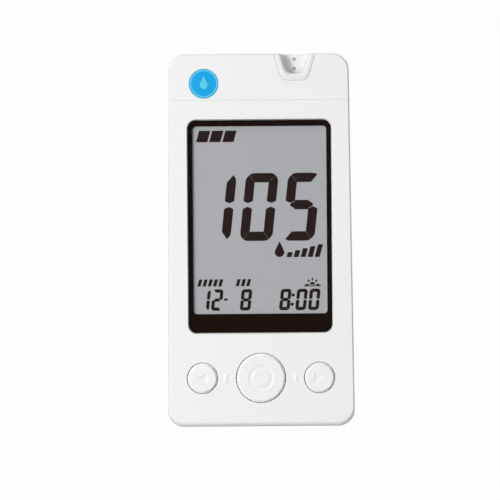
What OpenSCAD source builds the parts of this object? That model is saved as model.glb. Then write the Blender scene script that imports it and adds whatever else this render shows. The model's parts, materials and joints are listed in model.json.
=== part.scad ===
// Handheld blood glucose meter, lying on its back, in millimetres.
// +X is to the right, +Y towards the test strip port, +Z out of the display.
// The origin is the centre of the outline, on the back face.

/* [Body] */
// Distance of the key row from the key end
key_inset = 12.8; // [11.4:0.1:16]
// Distance of the lens from the middle of the key row
key_to_lens = 11.7; // [10.8:0.1:16]
// Distance of the lens from the strip port cap's seam
lens_to_seam = 5.1; // [4.5:0.1:8]
// Length of the strip port cap
cap_l = 12.2; // [11:0.1:16]
// Width of the face beside the lens at the key end
side_low = 5.65; // [5:0.05:9]
// Width of the face beside the lens at the strip port end
side_top = 4.75; // [4.3:0.05:8]
// Radius of the four corners of the outline
corner_r = 4.3; // [3.4:0.1:5.5]
// Rounding of the front edge
front_round = 0.8; // [0.4:0.1:1.5]
// Rounding of the back edge
back_round = 1.3; // [0.4:0.1:1.4]
// Thickness of the side walls
wall = 1.8; // [1.6:0.1:2]
// Thickness of the ledge that carries the lens
ledge_t = 0.75; // [0.6:0.05:1.2]
// Thickness of the back face
floor_t = 1.4; // [1.1:0.1:1.6]
// Height of the parting line between the front and back mouldings
split_z = 9.5; // [7:0.1:11]
// Width of the visible line at a seam
seam_gap = 0.14; // [0.06:0.02:0.3]
// Height of the lip that keys the two mouldings
lip_h = 1.1; // [0.6:0.1:1.6]
// Thickness of that lip
lip_t = 0.85; // [0.6:0.05:1]

/* [Display] */
// Width of the window in the black border
window_w = 35; // [31:0.1:42]
// Length of the window in the black border
window_l = 49.1; // [44:0.1:60]
// Width of the border beside the window
border_side = 1.35; // [1.2:0.05:3]
// Width of the border above the window
border_high = 1.65; // [1.5:0.05:4]
// Width of the border below the window
border_low = 5.05; // [4:0.05:7]
// Corner radius of the lens
lens_r = 2.3; // [1.2:0.1:3]
// Thickness of the lens
lens_t = 1.2; // [0.8:0.05:1.4]
// How far the lens lies below the front face
lens_sunk = 0.15; // [0.02:0.01:0.3]
// Corner radius of the window
window_r = 0.9; // [0.3:0.1:1.6]
// Thickness of the printed border film
border_t = 0.1; // [0.05:0.01:0.2]
// Thickness of the adhesive tape under the lens
tape_t = 0.2; // [0.1:0.01:0.3]
// Thickness of one pane of the display glass
glass_t = 0.7; // [0.5:0.05:0.8]
// Thickness of the polariser and of the reflector
film_t = 0.2; // [0.1:0.02:0.25]
// How far the glass reaches past the window
glass_margin = 1.2; // [1:0.05:1.3]
// Depth of the front pane's contact edge
contact_edge = 2.8; // [2.4:0.1:3]
// Wall of the display holder
holder_wall = 1; // [0.7:0.05:1.1]
// Thickness of the display holder's base
holder_base = 1.3; // [1:0.1:2.5]
// Width of the elastomeric connector strip
connector_w = 1.8; // [1.2:0.1:2]

/* [Keys] */
// Distance of each side key from the body's side
key_side = 5.02; // [4.7:0.01:5.4]
// Diameter of the centre key's hole
main_key_d = 13.3; // [12.4:0.02:13.8]
// Diameter of a side key's hole
side_key_d = 8.36; // [7.8:0.02:8.8]
// Gap round a key's skirt
key_gap = 0.2; // [0.15:0.01:0.3]
// Width of the groove round a key at the face
groove_w = 0.5; // [0.35:0.01:0.7]
// Depth of that groove, down to the key's skirt
groove_t = 0.45; // [0.4:0.05:1]
// How far the keys stand above the front face
key_proud = 0.45; // [0.35:0.05:0.8]
// Rounding of a key's top edge
key_round = 0.5; // [0.2:0.05:0.6]
// Travel of a key
key_travel = 0.3; // [0.2:0.01:0.34]
// Width of the flange that keeps a key in
key_flange = 0.75; // [0.5:0.05:0.9]
// Thickness of that flange
key_flange_t = 0.8; // [0.5:0.05:0.9]
// Middle diameter of the ring engraved in the centre key
ring_d = 5.5; // [4:0.1:9]
// Width of that ring
ring_w = 0.95; // [0.3:0.05:1.2]
// Depth of the engraved ring and arrows
engrave_t = 0.25; // [0.1:0.05:0.35]
// Length of a side key's arrow
arrow_l = 2.5; // [1.5:0.1:3.4]
// Width of a side key's arrow
arrow_w = 2.4; // [1.5:0.1:3.4]
// Width of a raised bar between two keys
bar_w = 1.15; // [0.5:0.05:1.3]
// Length of a raised bar
bar_l = 2.6; // [1.5:0.1:5]
// Height of a raised bar
bar_h = 0.25; // [0.1:0.05:0.4]
// Place of a raised bar on the way from the centre key's hole to a side key's, as a share
bar_place = 0.55; // [0.4:0.01:0.6]

/* [Strip port and badge] */
// Distance of the strip port from the body's side
port_side = 8.75; // [8.3:0.05:9.4]
// Width of the port's rim piece at the end face
rim_w_end = 11; // [10.4:0.1:11.6]
// Width of the port's rim piece at its inner end
rim_w_in = 8; // [7.4:0.1:8.6]
// Length of the port's rim piece
rim_l = 7.1; // [6.9:0.05:7.5]
// Corner radius at the inner end of the rim piece
rim_r = 2.3; // [1.6:0.1:2.8]
// How far the rim piece stands above the front face
rim_proud = 0.15; // [0.05:0.05:0.3]
// Width of the trough at the end face
trough_w_end = 7.8; // [7:0.1:8.2]
// Width of the trough at its inner end
trough_w_in = 5.5; // [5:0.1:6]
// Length of the trough
trough_l = 5.4; // [4.8:0.1:5.8]
// Corner radius at the inner end of the trough
trough_r = 1.9; // [1.2:0.1:2.2]
// How far each side of the trough leans in on its way down
trough_lean = 0.45; // [0.2:0.05:0.6]
// Width of the test strip slot
slot_w = 5.6; // [4.6:0.1:5.8]
// Height of the test strip slot
slot_h = 1; // [0.8:0.05:1.1]
// Height of the slot's floor above the circuit board
slot_rise = 1.4; // [1.2:0.05:1.6]
// Diameter of the two pins in the slot's floor
pin_d = 0.85; // [0.5:0.05:1.1]
// Distance of the first pin from the end face
pin_inset = 1.25; // [1.2:0.05:1.6]
// Distance between the two pins
pin_pitch = 2.4; // [2:0.05:2.6]
// Diameter of the round badge
badge_d = 7.6; // [5:0.1:8.4]
// Distance of the badge from the body's side
badge_side = 5.4; // [4.6:0.1:6.2]
// Distance of the badge from the strip port cap's seam
badge_gap = 0.55; // [0.3:0.05:2]
// Thickness of the badge
badge_t = 0.6; // [0.4:0.05:0.9]

/* [Electronics] */
// Thickness of the circuit board
board_t = 1; // [0.8:0.05:1.1]
// Clear height under the circuit board
board_gap = 0.3; // [0.1:0.05:0.4]
// How far the board reaches under the strip connector
board_reach = 4.95; // [4:0.05:5.4]
// Side of a key switch
switch_w = 5.2; // [4.4:0.1:6]
// Height of a key switch's housing
switch_h = 1.5; // [1.4:0.05:1.6]
// Diameter of a key switch's plunger
plunger_d = 2.4; // [1.8:0.1:3]
// How far a plunger stands above its housing
plunger_proud = 0.4; // [0.36:0.02:0.5]
// Side of the controller chip
chip_w = 10; // [7:0.5:12]
// Thickness of the controller chip
chip_t = 1.4; // [0.9:0.1:1.6]
// Diameter of the buzzer
buzzer_d = 12; // [9:0.5:13]
// Height of the buzzer
buzzer_h = 3.2; // [2:0.1:5]
// Length of the strip connector
port_connector_l = 6.4; // [5.5:0.1:7]
// Width of the strip connector
port_connector_w = 9.6; // [9:0.1:10]

/* [Power] */
// Diameter of one AAA cell
cell_d = 10.5; // [10.3:0.1:10.5]
// Length of one AAA cell over its nub
cell_l = 44.5; // [43.5:0.1:45]
// Free height of a battery spring as fitted
spring_h = 2.8; // [2.4:0.1:3.2]
// Thickness of a battery contact plate
plate_t = 0.3; // [0.2:0.05:0.4]
// Thickness of the battery bay's walls
bay_wall = 0.9; // [0.7:0.05:1]
// Thickness of the battery bay's roof
bay_roof = 0.7; // [0.6:0.05:0.8]
// Width of the battery door's outer plate
door_w = 27; // [26.6:0.1:27.6]
// How far the door's guide flange reaches past its plate
door_flange = 1.2; // [0.8:0.05:1.4]
// Thickness of the door's guide flange
door_flange_t = 0.6; // [0.4:0.05:0.65]

/* [Screws] */
// Diameter of a case screw's shank
screw_d = 2; // [1.8:0.1:2.2]
// Diameter of a case screw's head
screw_head_d = 3.8; // [3.4:0.1:4]
// Height of a case screw's head
screw_head_h = 1.4; // [1:0.1:1.6]
// Length of a case screw under its head
screw_l = 10; // [8:0.5:11]
// Depth of a case screw's seat below the back face
screw_seat = 4.5; // [3.5:0.1:5]
// Diameter of a board screw's shank
board_screw_d = 1.6; // [1.4:0.1:1.7]
// Diameter of a board screw's head
board_screw_head_d = 3; // [2.6:0.1:3.2]

/* [Hidden] */

eps = 0.01;
far = 200;
hull_fn = 32;
curve_fn = 64;
round_steps = 5;
sides = [-1, 1];

// Clearances
fit = 0.1;
slide_fit = 0.15;
seat_fit = 0.05;
pilot_fit = 0.05;
pass_fit = 0.2;

// The front's layout, from the key end up
lens_w = window_w + 2 * border_side;
lens_l = window_l + border_low + border_high;
body_l = key_inset + key_to_lens + lens_l + lens_to_seam + cap_l;
body_w_low = lens_w + 2 * side_low;
body_w_top = lens_w + 2 * side_top;
half_l = body_l / 2;
in_y = half_l - wall;
split_half = seam_gap / 2;
key_y = half_l - key_inset;
lens_low_y = -key_y + key_to_lens;
lens_y = lens_low_y + lens_l / 2;
window_y = lens_low_y + border_low + window_l / 2;
seam_y = half_l - cap_l;
badge_x = body_w_top / 2 - badge_side - badge_d / 2;
badge_y = seam_y + badge_gap + badge_d / 2;
port_x = body_w_top / 2 - port_side - rim_w_end / 2;
key_pitch = body_w_low / 2 - key_side - side_key_d / 2;
bar_x = main_key_d / 2 + bar_place * (key_pitch - side_key_d / 2 - main_key_d / 2);

// The battery bay, from the back face up
door_z = floor_t + fit;
door_top = door_z + door_flange_t;
rail_z = door_top + fit;
rail_h = 1.2;
rail_leg = 1.25;
cell_pitch = cell_d + 2 * fit;
cell_x = cell_pitch / 2;
cell_z = door_top + fit + cell_d / 2;
bay_half_w = cell_pitch / 2 + cell_d / 2 + 2 * fit;
bay_ceiling = cell_z + cell_d / 2 + pass_fit;
bay_top = bay_ceiling + bay_roof;
bay_l = cell_l + spring_h + 2 * plate_t + fit;
bay_low_inset = 3;
bay_low_y = -in_y + bay_low_inset;
bay_high_y = bay_low_y + bay_l;
channel_half = door_w / 2 + door_flange + slide_fit;
door_over = 2.2;
door_high_y = bay_high_y + bay_wall + door_over;
grip_count = 4;
grip_pitch = 1.8;
grip_l = 12;
grip_w = 0.8;
grip_t = 0.3;
grip_y = 40;
mark_l = 3.4;
mark_w = 5;

// The circuit board
board_z = bay_top + board_gap;
board_top = board_z + board_t;
board_edge = 0.9;
board_half_w = min(body_w_top, body_w_low) / 2 - wall - board_edge;
board_low_y = -in_y + board_edge;

// The display stack, from the board up to the front face
reflector_z = board_top + holder_base;
rear_glass_z = reflector_z + film_t;
front_glass_z = rear_glass_z + glass_t;
lcd_top = front_glass_z + glass_t + film_t;
face_z = lcd_top + fit;
tape_z = face_z + ledge_t;
border_z = tape_z + tape_t;
lens_z = border_z + border_t;
lens_top = lens_z + lens_t;
body_t = lens_top + lens_sunk;
glass_w = window_w + 2 * glass_margin;
glass_high_y = window_y + window_l / 2 + glass_margin;
rear_glass_low_y = window_y - window_l / 2 - glass_margin / 2;
glass_low_y = rear_glass_low_y - contact_edge;
film_inset = 0.3;
holder_high_y = glass_high_y + fit + holder_wall;
holder_low_y = glass_low_y - fit - holder_wall;
holder_half_w = glass_w / 2 + fit + holder_wall;

// The board's screws, beside the display holder
board_boss_r = 1.7;
board_screw_x = board_half_w - board_boss_r - pass_fit;
board_screw_high_y = holder_high_y + pass_fit + board_boss_r;
board_screw_low_y = holder_low_y - 2 * pass_fit - board_boss_r;
board_screw_head_h = 1;
board_screw_l = 3.4;

// The case's screws, in its corners
case_boss_r = screw_head_d / 2 + 1.2;
pilot_boss_r = screw_d / 2 + 1.4;
boss_sink = 0.3;
case_screw_y = in_y - case_boss_r + boss_sink;
screw_rise = screw_l + 1;
drive_r = 0.9;
drive_t = 0.7;

// The strip port
slot_z = board_top + slot_rise;
rim_floor = 1.1;
rim_z = slot_z - rim_floor;
rim_in_y = half_l - rim_l;
port_connector_low_y = rim_in_y - fit - port_connector_l;
port_connector_wall = 1;
board_top_y = port_connector_low_y + board_reach;
contact_count = 5;
contact_w = 0.5;
contact_pitch = (slot_w - contact_w) / contact_count;
contact_t = 0.2;
contact_l = 4.2;
contact_rise = 0.45;

// The keys
key_flange_z = face_z - seat_fit - key_flange_t;
key_top = body_t + key_proud;
stem_d = 3.2;
plunger_l = 0.95;
plunger_room = 0.12;
plunger_top_z = board_top + switch_h + plunger_proud;
plunger_z = plunger_top_z - plunger_l;

// The tongues that hold the front cover's edge under the port cap
tongue_l = 3;
tongue_t = 0.9;
tongue_root = 2.4;

// Half the body's width at a distance along it
function half_w(y) =
  (body_w_low + (body_w_top - body_w_low) * (y + half_l) / body_l) / 2;

// Points on an arc
function arc(centre, r, from, to, steps) =
  [for (i = [0:steps]) centre + r * [cos(from + (to - from) * i / steps),
                                     sin(from + (to - from) * i / steps)]];

// Where a case screw stands at one end, +1 the strip port's
function case_screw_x(end) = half_w(end * case_screw_y) - wall - case_boss_r + boss_sink;

// ---- Shared shapes ----

// A box between two corners
module block(low, high) {
  translate(low)
    cube(high - low);
}

// A round post whose top and bottom edges are rounded
module corner_post(r, z_low, z_high, round_low, round_high) {
  rotate_extrude($fn = hull_fn)
    polygon(concat(
      [[0, z_low]],
      arc([r - round_low, z_low + round_low], round_low, -90, 0, round_steps),
      arc([r - round_high, z_high - round_high], round_high, 0, 90, round_steps),
      [[0, z_high]]
    ));
}

// Its children at the four corners of the outline, moved in by inset
module at_corners(inset, r) {
  for (x = sides, end = sides)
    translate([x * (half_w(end * half_l) - inset - r), end * (half_l - inset - r), 0])
      children();
}

// The whole body's outside
module body_form() {
  hull()
    at_corners(0, corner_r)
      corner_post(corner_r, 0, body_t, back_round, front_round);
}

// The outline moved in by inset, between two heights
module core(inset, z_low, z_high) {
  hull()
    at_corners(inset, corner_r - inset)
      translate([0, 0, z_low])
        cylinder(r = corner_r - inset, h = z_high - z_low, $fn = hull_fn);
}

// A slab with round corners, centred on [0, y]
module round_slab(w, l, r, y, z_low, z_high) {
  hull()
    for (x = sides, end = sides)
      translate([x * (w / 2 - r), y + end * (l / 2 - r), z_low])
        cylinder(r = r, h = z_high - z_low, $fn = hull_fn);
}

// The strip port's outline: wide at the end face, narrow and round at its inner end
module port_form(w_end, w_in, l, r, z_low, z_high, lean) {
  hull() {
    for (side = sides)
      translate([port_x + side * (w_in / 2 - r), half_l - l + r, z_high - eps])
        cylinder(r = r, h = eps, $fn = hull_fn);
    for (side = sides)
      translate([port_x + side * (w_in / 2 - r - lean), half_l - l + r + lean, z_low])
        cylinder(r = r, h = eps, $fn = hull_fn);
    block([port_x - w_end / 2, half_l, z_high - eps],
          [port_x + w_end / 2, half_l + eps, z_high]);
    block([port_x - w_end / 2 + lean, half_l, z_low],
          [port_x + w_end / 2 - lean, half_l + eps, z_low + eps]);
  }
}

// The rim piece's outline, grown by a clearance
module rim_form(grow) {
  port_form(rim_w_end + 2 * grow, rim_w_in + 2 * grow, rim_l + grow, rim_r + grow,
            rim_z - grow, body_t + rim_proud + eps, 0);
}

// A wire coil that narrows from one end to the other, standing on z = 0
module coil(r_low, r_high, h, turns, wire_r) {
  ring = 8;
  steps = 16 * turns;
  points = [
    for (i = [0:steps], j = [0:ring - 1])
      let (t = i / steps, a = 360 * turns * t, b = 360 * j / ring)
      let (r = r_low + (r_high - r_low) * t + wire_r * cos(b))
      [r * cos(a), r * sin(a), wire_r + (h - 2 * wire_r) * t + wire_r * sin(b)]
  ];
  skin = [
    for (i = [0:steps - 1], j = [0:ring - 1])
      let (k = (j + 1) % ring)
      [ring * i + j, ring * i + k, ring * (i + 1) + k, ring * (i + 1) + j]
  ];
  cap_low = [for (j = [0:ring - 1]) ring - 1 - j];
  cap_high = [for (j = [0:ring - 1]) steps * ring + j];
  polyhedron(points = points, faces = concat(skin, [cap_low, cap_high]), convexity = 6);
}

// Its children on both sides of the centre line, at the case screws of one end
module at_case_screws(end) {
  for (side = sides)
    translate([side * case_screw_x(end), end * case_screw_y, 0])
      children();
}

// Its children at the board's four screws
module at_board_screws() {
  for (side = sides, y = [board_screw_low_y, board_screw_high_y])
    translate([side * board_screw_x, y, 0])
      children();
}

// ---- Case ----

// The part of the front moulding between two distances, without its details
module front_shell(y_low, y_high) {
  difference() {
    intersection() {
      body_form();
      block([-far, y_low, split_z + split_half], [far, y_high, far]);
    }
    core(wall, 0, face_z);
    core(wall - lip_t - fit, 0, split_z + lip_h + fit);
  }
}

// Posts that take the case screws of one end
module pilot_posts(end) {
  at_case_screws(end)
    translate([0, 0, split_z + split_half])
      cylinder(r = pilot_boss_r, h = face_z - split_z + eps, $fn = curve_fn);
}

// The pilot holes in those posts
module pilot_holes(end) {
  at_case_screws(end)
    cylinder(d = screw_d + 2 * pilot_fit, h = screw_seat + screw_rise, $fn = curve_fn);
}

// The holes through the face for the three keys
module key_holes() {
  for (x = [-key_pitch, 0, key_pitch])
    translate([x, -key_y, face_z - eps])
      cylinder(d = x == 0 ? main_key_d : side_key_d, h = far, $fn = curve_fn);
}

// One tongue under the port cap, between two distances from the centre line
module tongue(x_low, x_high) {
  block([x_low, seam_y - tongue_root, face_z - fit - tongue_t],
        [x_high, seam_y - split_half, face_z + eps]);
  block([x_low, seam_y - tongue_root, face_z - fit - tongue_t],
        [x_high, seam_y + tongue_l, face_z - fit]);
}

module front_cover() {
  tongue_half = board_screw_x;
  clear_of_port = port_connector_w / 2 + 2 * pass_fit;
  color("whitesmoke")
    difference() {
      union() {
        front_shell(-far, seam_y - split_half);
        pilot_posts(-1);
        at_board_screws()
          translate([0, 0, board_top])
            cylinder(r = board_boss_r, h = face_z - board_top + eps, $fn = curve_fn);
        tongue(-tongue_half, port_x - clear_of_port);
        tongue(port_x + clear_of_port, tongue_half);
        for (side = sides)
          block([side * bar_x - bar_w / 2, -key_y - bar_l / 2, body_t - bar_h],
                [side * bar_x + bar_w / 2, -key_y + bar_l / 2, body_t + bar_h]);
      }
      round_slab(lens_w + 2 * fit, lens_l + 2 * fit, lens_r + fit, lens_y, tape_z, far);
      round_slab(window_w + 2 * pass_fit, window_l + 2 * pass_fit, window_r + pass_fit,
                 window_y, face_z - eps, far);
      key_holes();
      pilot_holes(-1);
      at_board_screws()
        translate([0, 0, board_top - eps])
          cylinder(d = board_screw_d + 2 * pilot_fit, h = board_screw_l - board_t + pass_fit,
                   $fn = curve_fn);
    }
}

module port_cap() {
  color("whitesmoke")
    difference() {
      union() {
        front_shell(seam_y + split_half, far);
        pilot_posts(1);
      }
      rim_form(seat_fit);
      pilot_holes(1);
      translate([-badge_x, badge_y, body_t - badge_t])
        cylinder(d = badge_d + 2 * seat_fit, h = far, $fn = curve_fn);
    }
}

// The floor's guide rails and the walls and roof round the two cells
module battery_bay() {
  low_y = bay_low_y - bay_wall;
  high_y = bay_high_y + bay_wall;
  end_y = door_high_y + slide_fit;
  outer = bay_half_w + bay_wall;
  difference() {
    union() {
      block([-outer, low_y, rail_z], [outer, high_y, bay_top]);
      block([-channel_half - rail_leg, low_y, floor_t - eps],
            [channel_half + rail_leg, end_y + rail_leg, rail_z + rail_h]);
    }
    block([-bay_half_w, bay_low_y, -eps], [bay_half_w, bay_high_y, bay_ceiling]);
    block([-channel_half, low_y - eps, -eps], [channel_half, end_y, rail_z]);
    for (side = sides)
      block([side * cell_x - terminal_tail_w / 2 - fit, bay_high_y - plate_t - fit, bay_ceiling - eps],
            [side * cell_x + terminal_tail_w / 2 + fit, bay_high_y, far]);
  }
}

module rear_cover() {
  color("whitesmoke")
    difference() {
      union() {
        difference() {
          intersection() {
            body_form();
            block([-far, -far, -far], [far, far, split_z - split_half]);
          }
          core(wall, floor_t, far);
        }
        difference() {
          core(wall - lip_t, split_z - lip_h, split_z + lip_h);
          core(wall, 0, far);
        }
        battery_bay();
        for (end = sides)
          at_case_screws(end)
            translate([0, 0, floor_t - eps])
              cylinder(r = case_boss_r, h = split_z - split_half - floor_t, $fn = curve_fn);
      }
      for (end = sides)
        at_case_screws(end) {
          translate([0, 0, -eps])
            cylinder(d = screw_head_d + 2 * pass_fit, h = screw_seat + eps, $fn = curve_fn);
          cylinder(d = screw_d + 2 * pass_fit, h = far, $fn = curve_fn);
        }
      block([-door_w / 2 - slide_fit, -far, -eps],
            [door_w / 2 + slide_fit, door_high_y + slide_fit, floor_t + eps]);
      block([-channel_half, -far, floor_t], [channel_half, -in_y + eps, rail_z]);
    }
}

module battery_door() {
  color("whitesmoke")
    difference() {
      intersection() {
        body_form();
        union() {
          block([-door_w / 2, -far, 0], [door_w / 2, door_high_y, door_top]);
          block([-door_w / 2 - door_flange, -far, door_z],
                [door_w / 2 + door_flange, door_high_y, door_top]);
        }
      }
      for (i = [0:grip_count - 1])
        block([-grip_l / 2, -grip_y + i * grip_pitch - grip_w / 2, -eps],
              [grip_l / 2, -grip_y + i * grip_pitch + grip_w / 2, grip_t]);
      translate([0, -grip_y + grip_count * grip_pitch, -eps])
        linear_extrude(grip_t + eps)
          polygon([[-mark_w / 2, mark_l], [0, 0], [mark_w / 2, mark_l]]);
    }
}

module badge_disc() {
  color("deepskyblue")
    translate([-badge_x, badge_y, body_t - badge_t])
      cylinder(d = badge_d, h = badge_t + seat_fit, $fn = curve_fn);
}

module case_screws() {
  color("silver")
    for (end = sides)
      at_case_screws(end)
        difference() {
          union() {
            translate([0, 0, screw_seat - screw_head_h])
              cylinder(d = screw_head_d, h = screw_head_h, $fn = curve_fn);
            translate([0, 0, screw_seat - eps])
              cylinder(d = screw_d, h = screw_l, $fn = curve_fn);
          }
          translate([0, 0, screw_seat - screw_head_h - eps])
            cylinder(r = drive_r, h = drive_t, $fn = 6);
        }
}

// ---- Strip port ----

module strip_guide() {
  color("whitesmoke")
    difference() {
      intersection() {
        translate([0, 0, rim_proud])
          body_form();
        rim_form(0);
      }
      port_form(trough_w_end, trough_w_in, trough_l, trough_r, slot_z + slot_h - eps,
                body_t + rim_proud + eps, trough_lean);
      block([port_x - slot_w / 2, rim_in_y - eps, slot_z],
            [port_x + slot_w / 2, far, slot_z + slot_h]);
      at_guide_pins()
        cylinder(d = pin_d + 2 * seat_fit, h = slot_z + eps, $fn = curve_fn);
    }
}

// Its children at the two pins in the slot's floor
module at_guide_pins() {
  for (i = [0, 1])
    translate([port_x, half_l - pin_inset - i * pin_pitch, 0])
      children();
}

module guide_pins() {
  pin_proud = 0.15;
  color("peru")
    at_guide_pins()
      translate([0, 0, rim_z])
        cylinder(d = pin_d, h = rim_floor + pin_proud, $fn = curve_fn);
}

module strip_connector() {
  color("dimgray")
    difference() {
      block([port_x - port_connector_w / 2, port_connector_low_y, board_top],
            [port_x + port_connector_w / 2, rim_in_y - fit, face_z - fit]);
      block([port_x - slot_w / 2, port_connector_low_y + port_connector_wall,
             slot_z - contact_rise],
            [port_x + slot_w / 2, far, slot_z + slot_h]);
    }
}

// Sprung contact strips on the connector's floor
module strip_contacts() {
  color("gold")
    for (i = [0:contact_count - 1])
      translate([port_x + (i - (contact_count - 1) / 2) * contact_pitch - contact_w / 2,
                 port_connector_low_y + port_connector_wall + fit, slot_z - contact_rise])
        rotate([90, 0, 90])
          linear_extrude(contact_w)
            polygon([
              [0, 0], [contact_l, 0], [contact_l, contact_t], [contact_l * 0.7, contact_rise + contact_t],
              [contact_l * 0.6, contact_rise + contact_t], [contact_t, contact_t],
              [contact_t, contact_rise], [0, contact_rise]
            ]);
}

// ---- Display ----

module display_lens() {
  color([0.8, 0.85, 0.9, 0.3])
    round_slab(lens_w, lens_l, lens_r, lens_y, lens_z, lens_top);
}

// A frame under the lens, between its outline and a window
module lens_frame(margin, z_low, z_high) {
  difference() {
    round_slab(lens_w, lens_l, lens_r, lens_y, z_low, z_high);
    round_slab(window_w + 2 * margin, window_l + 2 * margin, window_r + margin, window_y,
               z_low - eps, z_high + eps);
  }
}

module lens_border() {
  color("black")
    lens_frame(0, border_z, lens_z);
}

module lens_tape() {
  color("gray")
    lens_frame(pass_fit, tape_z, border_z);
}

// A pane or film of the display between two distances along the body
module pane(inset, y_low, z_low, t) {
  block([-glass_w / 2 + inset, y_low + inset, z_low],
        [glass_w / 2 - inset, glass_high_y - inset, z_low + t]);
}

module lcd_front_polariser() {
  color([0.6, 0.62, 0.6, 0.3])
    pane(film_inset, rear_glass_low_y, lcd_top - film_t, film_t);
}

module lcd_front_glass() {
  color([0.7, 0.8, 0.8, 0.3])
    pane(0, glass_low_y, front_glass_z, glass_t);
}

module lcd_rear_glass() {
  color([0.7, 0.8, 0.8, 0.3])
    pane(0, rear_glass_low_y, rear_glass_z, glass_t);
}

module lcd_reflector() {
  color("darkgray")
    pane(film_inset, rear_glass_low_y, reflector_z, film_t);
}

module lcd_holder() {
  slot_low = glass_low_y;
  slot_high = rear_glass_low_y - pass_fit;
  color("white")
    difference() {
      block([-holder_half_w, holder_low_y, board_top], [holder_half_w, holder_high_y, lcd_top]);
      block([-glass_w / 2 - fit, glass_low_y - fit, front_glass_z],
            [glass_w / 2 + fit, glass_high_y + fit, far]);
      block([-glass_w / 2 - fit, rear_glass_low_y - fit, reflector_z],
            [glass_w / 2 + fit, glass_high_y + fit, far]);
      block([-glass_w / 2 + holder_wall, slot_low, board_top - eps],
            [glass_w / 2 - holder_wall, slot_high, far]);
    }
}

module lcd_connector() {
  middle = (glass_low_y + rear_glass_low_y - pass_fit) / 2;
  color("salmon")
    block([-glass_w / 2 + holder_wall + fit, middle - connector_w / 2, board_top],
          [glass_w / 2 - holder_wall - fit, middle + connector_w / 2, front_glass_z]);
}

// ---- Circuit board ----

module main_board() {
  notch_x = case_screw_x(-1) - pilot_boss_r - 2 * pass_fit;
  notch_y = -case_screw_y + pilot_boss_r + 2 * pass_fit;
  color("forestgreen")
    difference() {
      block([-board_half_w, board_low_y, board_z], [board_half_w, board_top_y, board_top]);
      for (side = sides)
        translate([side * (notch_x + far / 2), notch_y - far / 2, 0])
          cube(far, center = true);
      at_board_screws()
        translate([0, 0, board_z - eps])
          cylinder(d = board_screw_d + 2 * fit, h = board_t + 2 * eps, $fn = curve_fn);
    }
}

module board_screws() {
  color("silver")
    at_board_screws()
      difference() {
        union() {
          translate([0, 0, board_z - board_screw_head_h])
            cylinder(d = board_screw_head_d, h = board_screw_head_h, $fn = curve_fn);
          translate([0, 0, board_z - eps])
            cylinder(d = board_screw_d, h = board_screw_l, $fn = curve_fn);
        }
        translate([0, 0, board_z - board_screw_head_h - eps])
          cylinder(r = drive_r, h = drive_t, $fn = 6);
      }
}

// The chip, crystal and small parts hang under the board, clear of the battery bay
parts_y = bay_high_y + bay_wall + 3;
chip_x = -6;
chip_y = parts_y + chip_w / 2;
pin_count = 8;
pin_reach = 1;
pin_w = 0.4;
pin_t = 0.2;

module controller_chip() {
  pitch = chip_w / (pin_count + 1);
  color("darkslategray")
    block([chip_x - chip_w / 2, chip_y - chip_w / 2, board_z - chip_t],
          [chip_x + chip_w / 2, chip_y + chip_w / 2, board_z - pin_t]);
  color("silver")
    for (turn = [0:3], i = [1:pin_count])
      translate([chip_x, chip_y, 0])
        rotate([0, 0, 90 * turn])
          translate([chip_w / 2 - pin_reach / 2, -chip_w / 2 + i * pitch - pin_w / 2, board_z - pin_t])
            cube([1.5 * pin_reach, pin_w, pin_t]);
}

module clock_crystal() {
  crystal_d = 2;
  crystal_l = 6;
  color("silver")
    translate([chip_x - crystal_l / 2, chip_y + chip_w / 2 + 4, board_z - crystal_d / 2])
      rotate([0, 90, 0])
        cylinder(d = crystal_d, h = crystal_l, $fn = curve_fn);
}

module board_parts() {
  part_l = 1.6;
  part_w = 0.8;
  part_h = 0.6;
  rows = 3;
  columns = 4;
  pitch_x = 1.8;
  pitch_y = 3;
  first_x = -board_half_w + 3;
  color("tan")
    for (i = [0:columns - 1], j = [0:rows - 1])
      translate([first_x + (i % 2) * pitch_x, parts_y + (i + columns * j) * pitch_y / 2, board_z - part_h])
        cube([part_w, part_l / 2 + part_w / 2, part_h]);
}

module buzzer() {
  buzzer_x = 9;
  hole_d = 2;
  hole_t = 1;
  color("black")
    translate([buzzer_x, parts_y + buzzer_d / 2, board_z - buzzer_h])
      difference() {
        cylinder(d = buzzer_d, h = buzzer_h, $fn = curve_fn);
        translate([0, 0, -eps])
          cylinder(d = hole_d, h = hole_t, $fn = curve_fn);
      }
}

// ---- Keys ----

module key_switches() {
  color("dimgray")
    for (x = [-key_pitch, 0, key_pitch])
      difference() {
        block([x - switch_w / 2, -key_y - switch_w / 2, board_top],
              [x + switch_w / 2, -key_y + switch_w / 2, board_top + switch_h]);
        translate([x, -key_y, plunger_z - key_travel - plunger_room])
          cylinder(d = plunger_d + 2 * fit, h = far, $fn = curve_fn);
      }
}

module plunger(x) {
  color("black")
    translate([x, -key_y, plunger_z])
      cylinder(d = plunger_d, h = plunger_l, $fn = curve_fn);
}

// A key cap with its flange and the stem that presses the switch
module key_body(hole_d) {
  cap_r = hole_d / 2 - groove_w;
  skirt_r = hole_d / 2 - key_gap;
  skirt_top = body_t - groove_t;
  flange_r = hole_d / 2 + key_flange;
  flange_top = key_flange_z + key_flange_t;
  rotate_extrude($fn = curve_fn)
    polygon(concat(
      [[0, plunger_top_z], [stem_d / 2, plunger_top_z], [stem_d / 2, key_flange_z],
       [flange_r, key_flange_z], [flange_r, flange_top], [skirt_r, flange_top],
       [skirt_r, skirt_top], [cap_r, skirt_top]],
      arc([cap_r - key_round, key_top - key_round], key_round, 0, 90, round_steps),
      [[0, key_top]]
    ));
}

module side_key(side) {
  color("whitesmoke")
    translate([side * key_pitch, -key_y, 0])
      difference() {
        key_body(side_key_d);
        translate([0, 0, key_top - engrave_t])
          linear_extrude(far)
            polygon([[side * arrow_l / 2, 0], [-side * arrow_l / 2, arrow_w / 2],
                     [-side * arrow_l / 2, -arrow_w / 2]]);
      }
}

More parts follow.
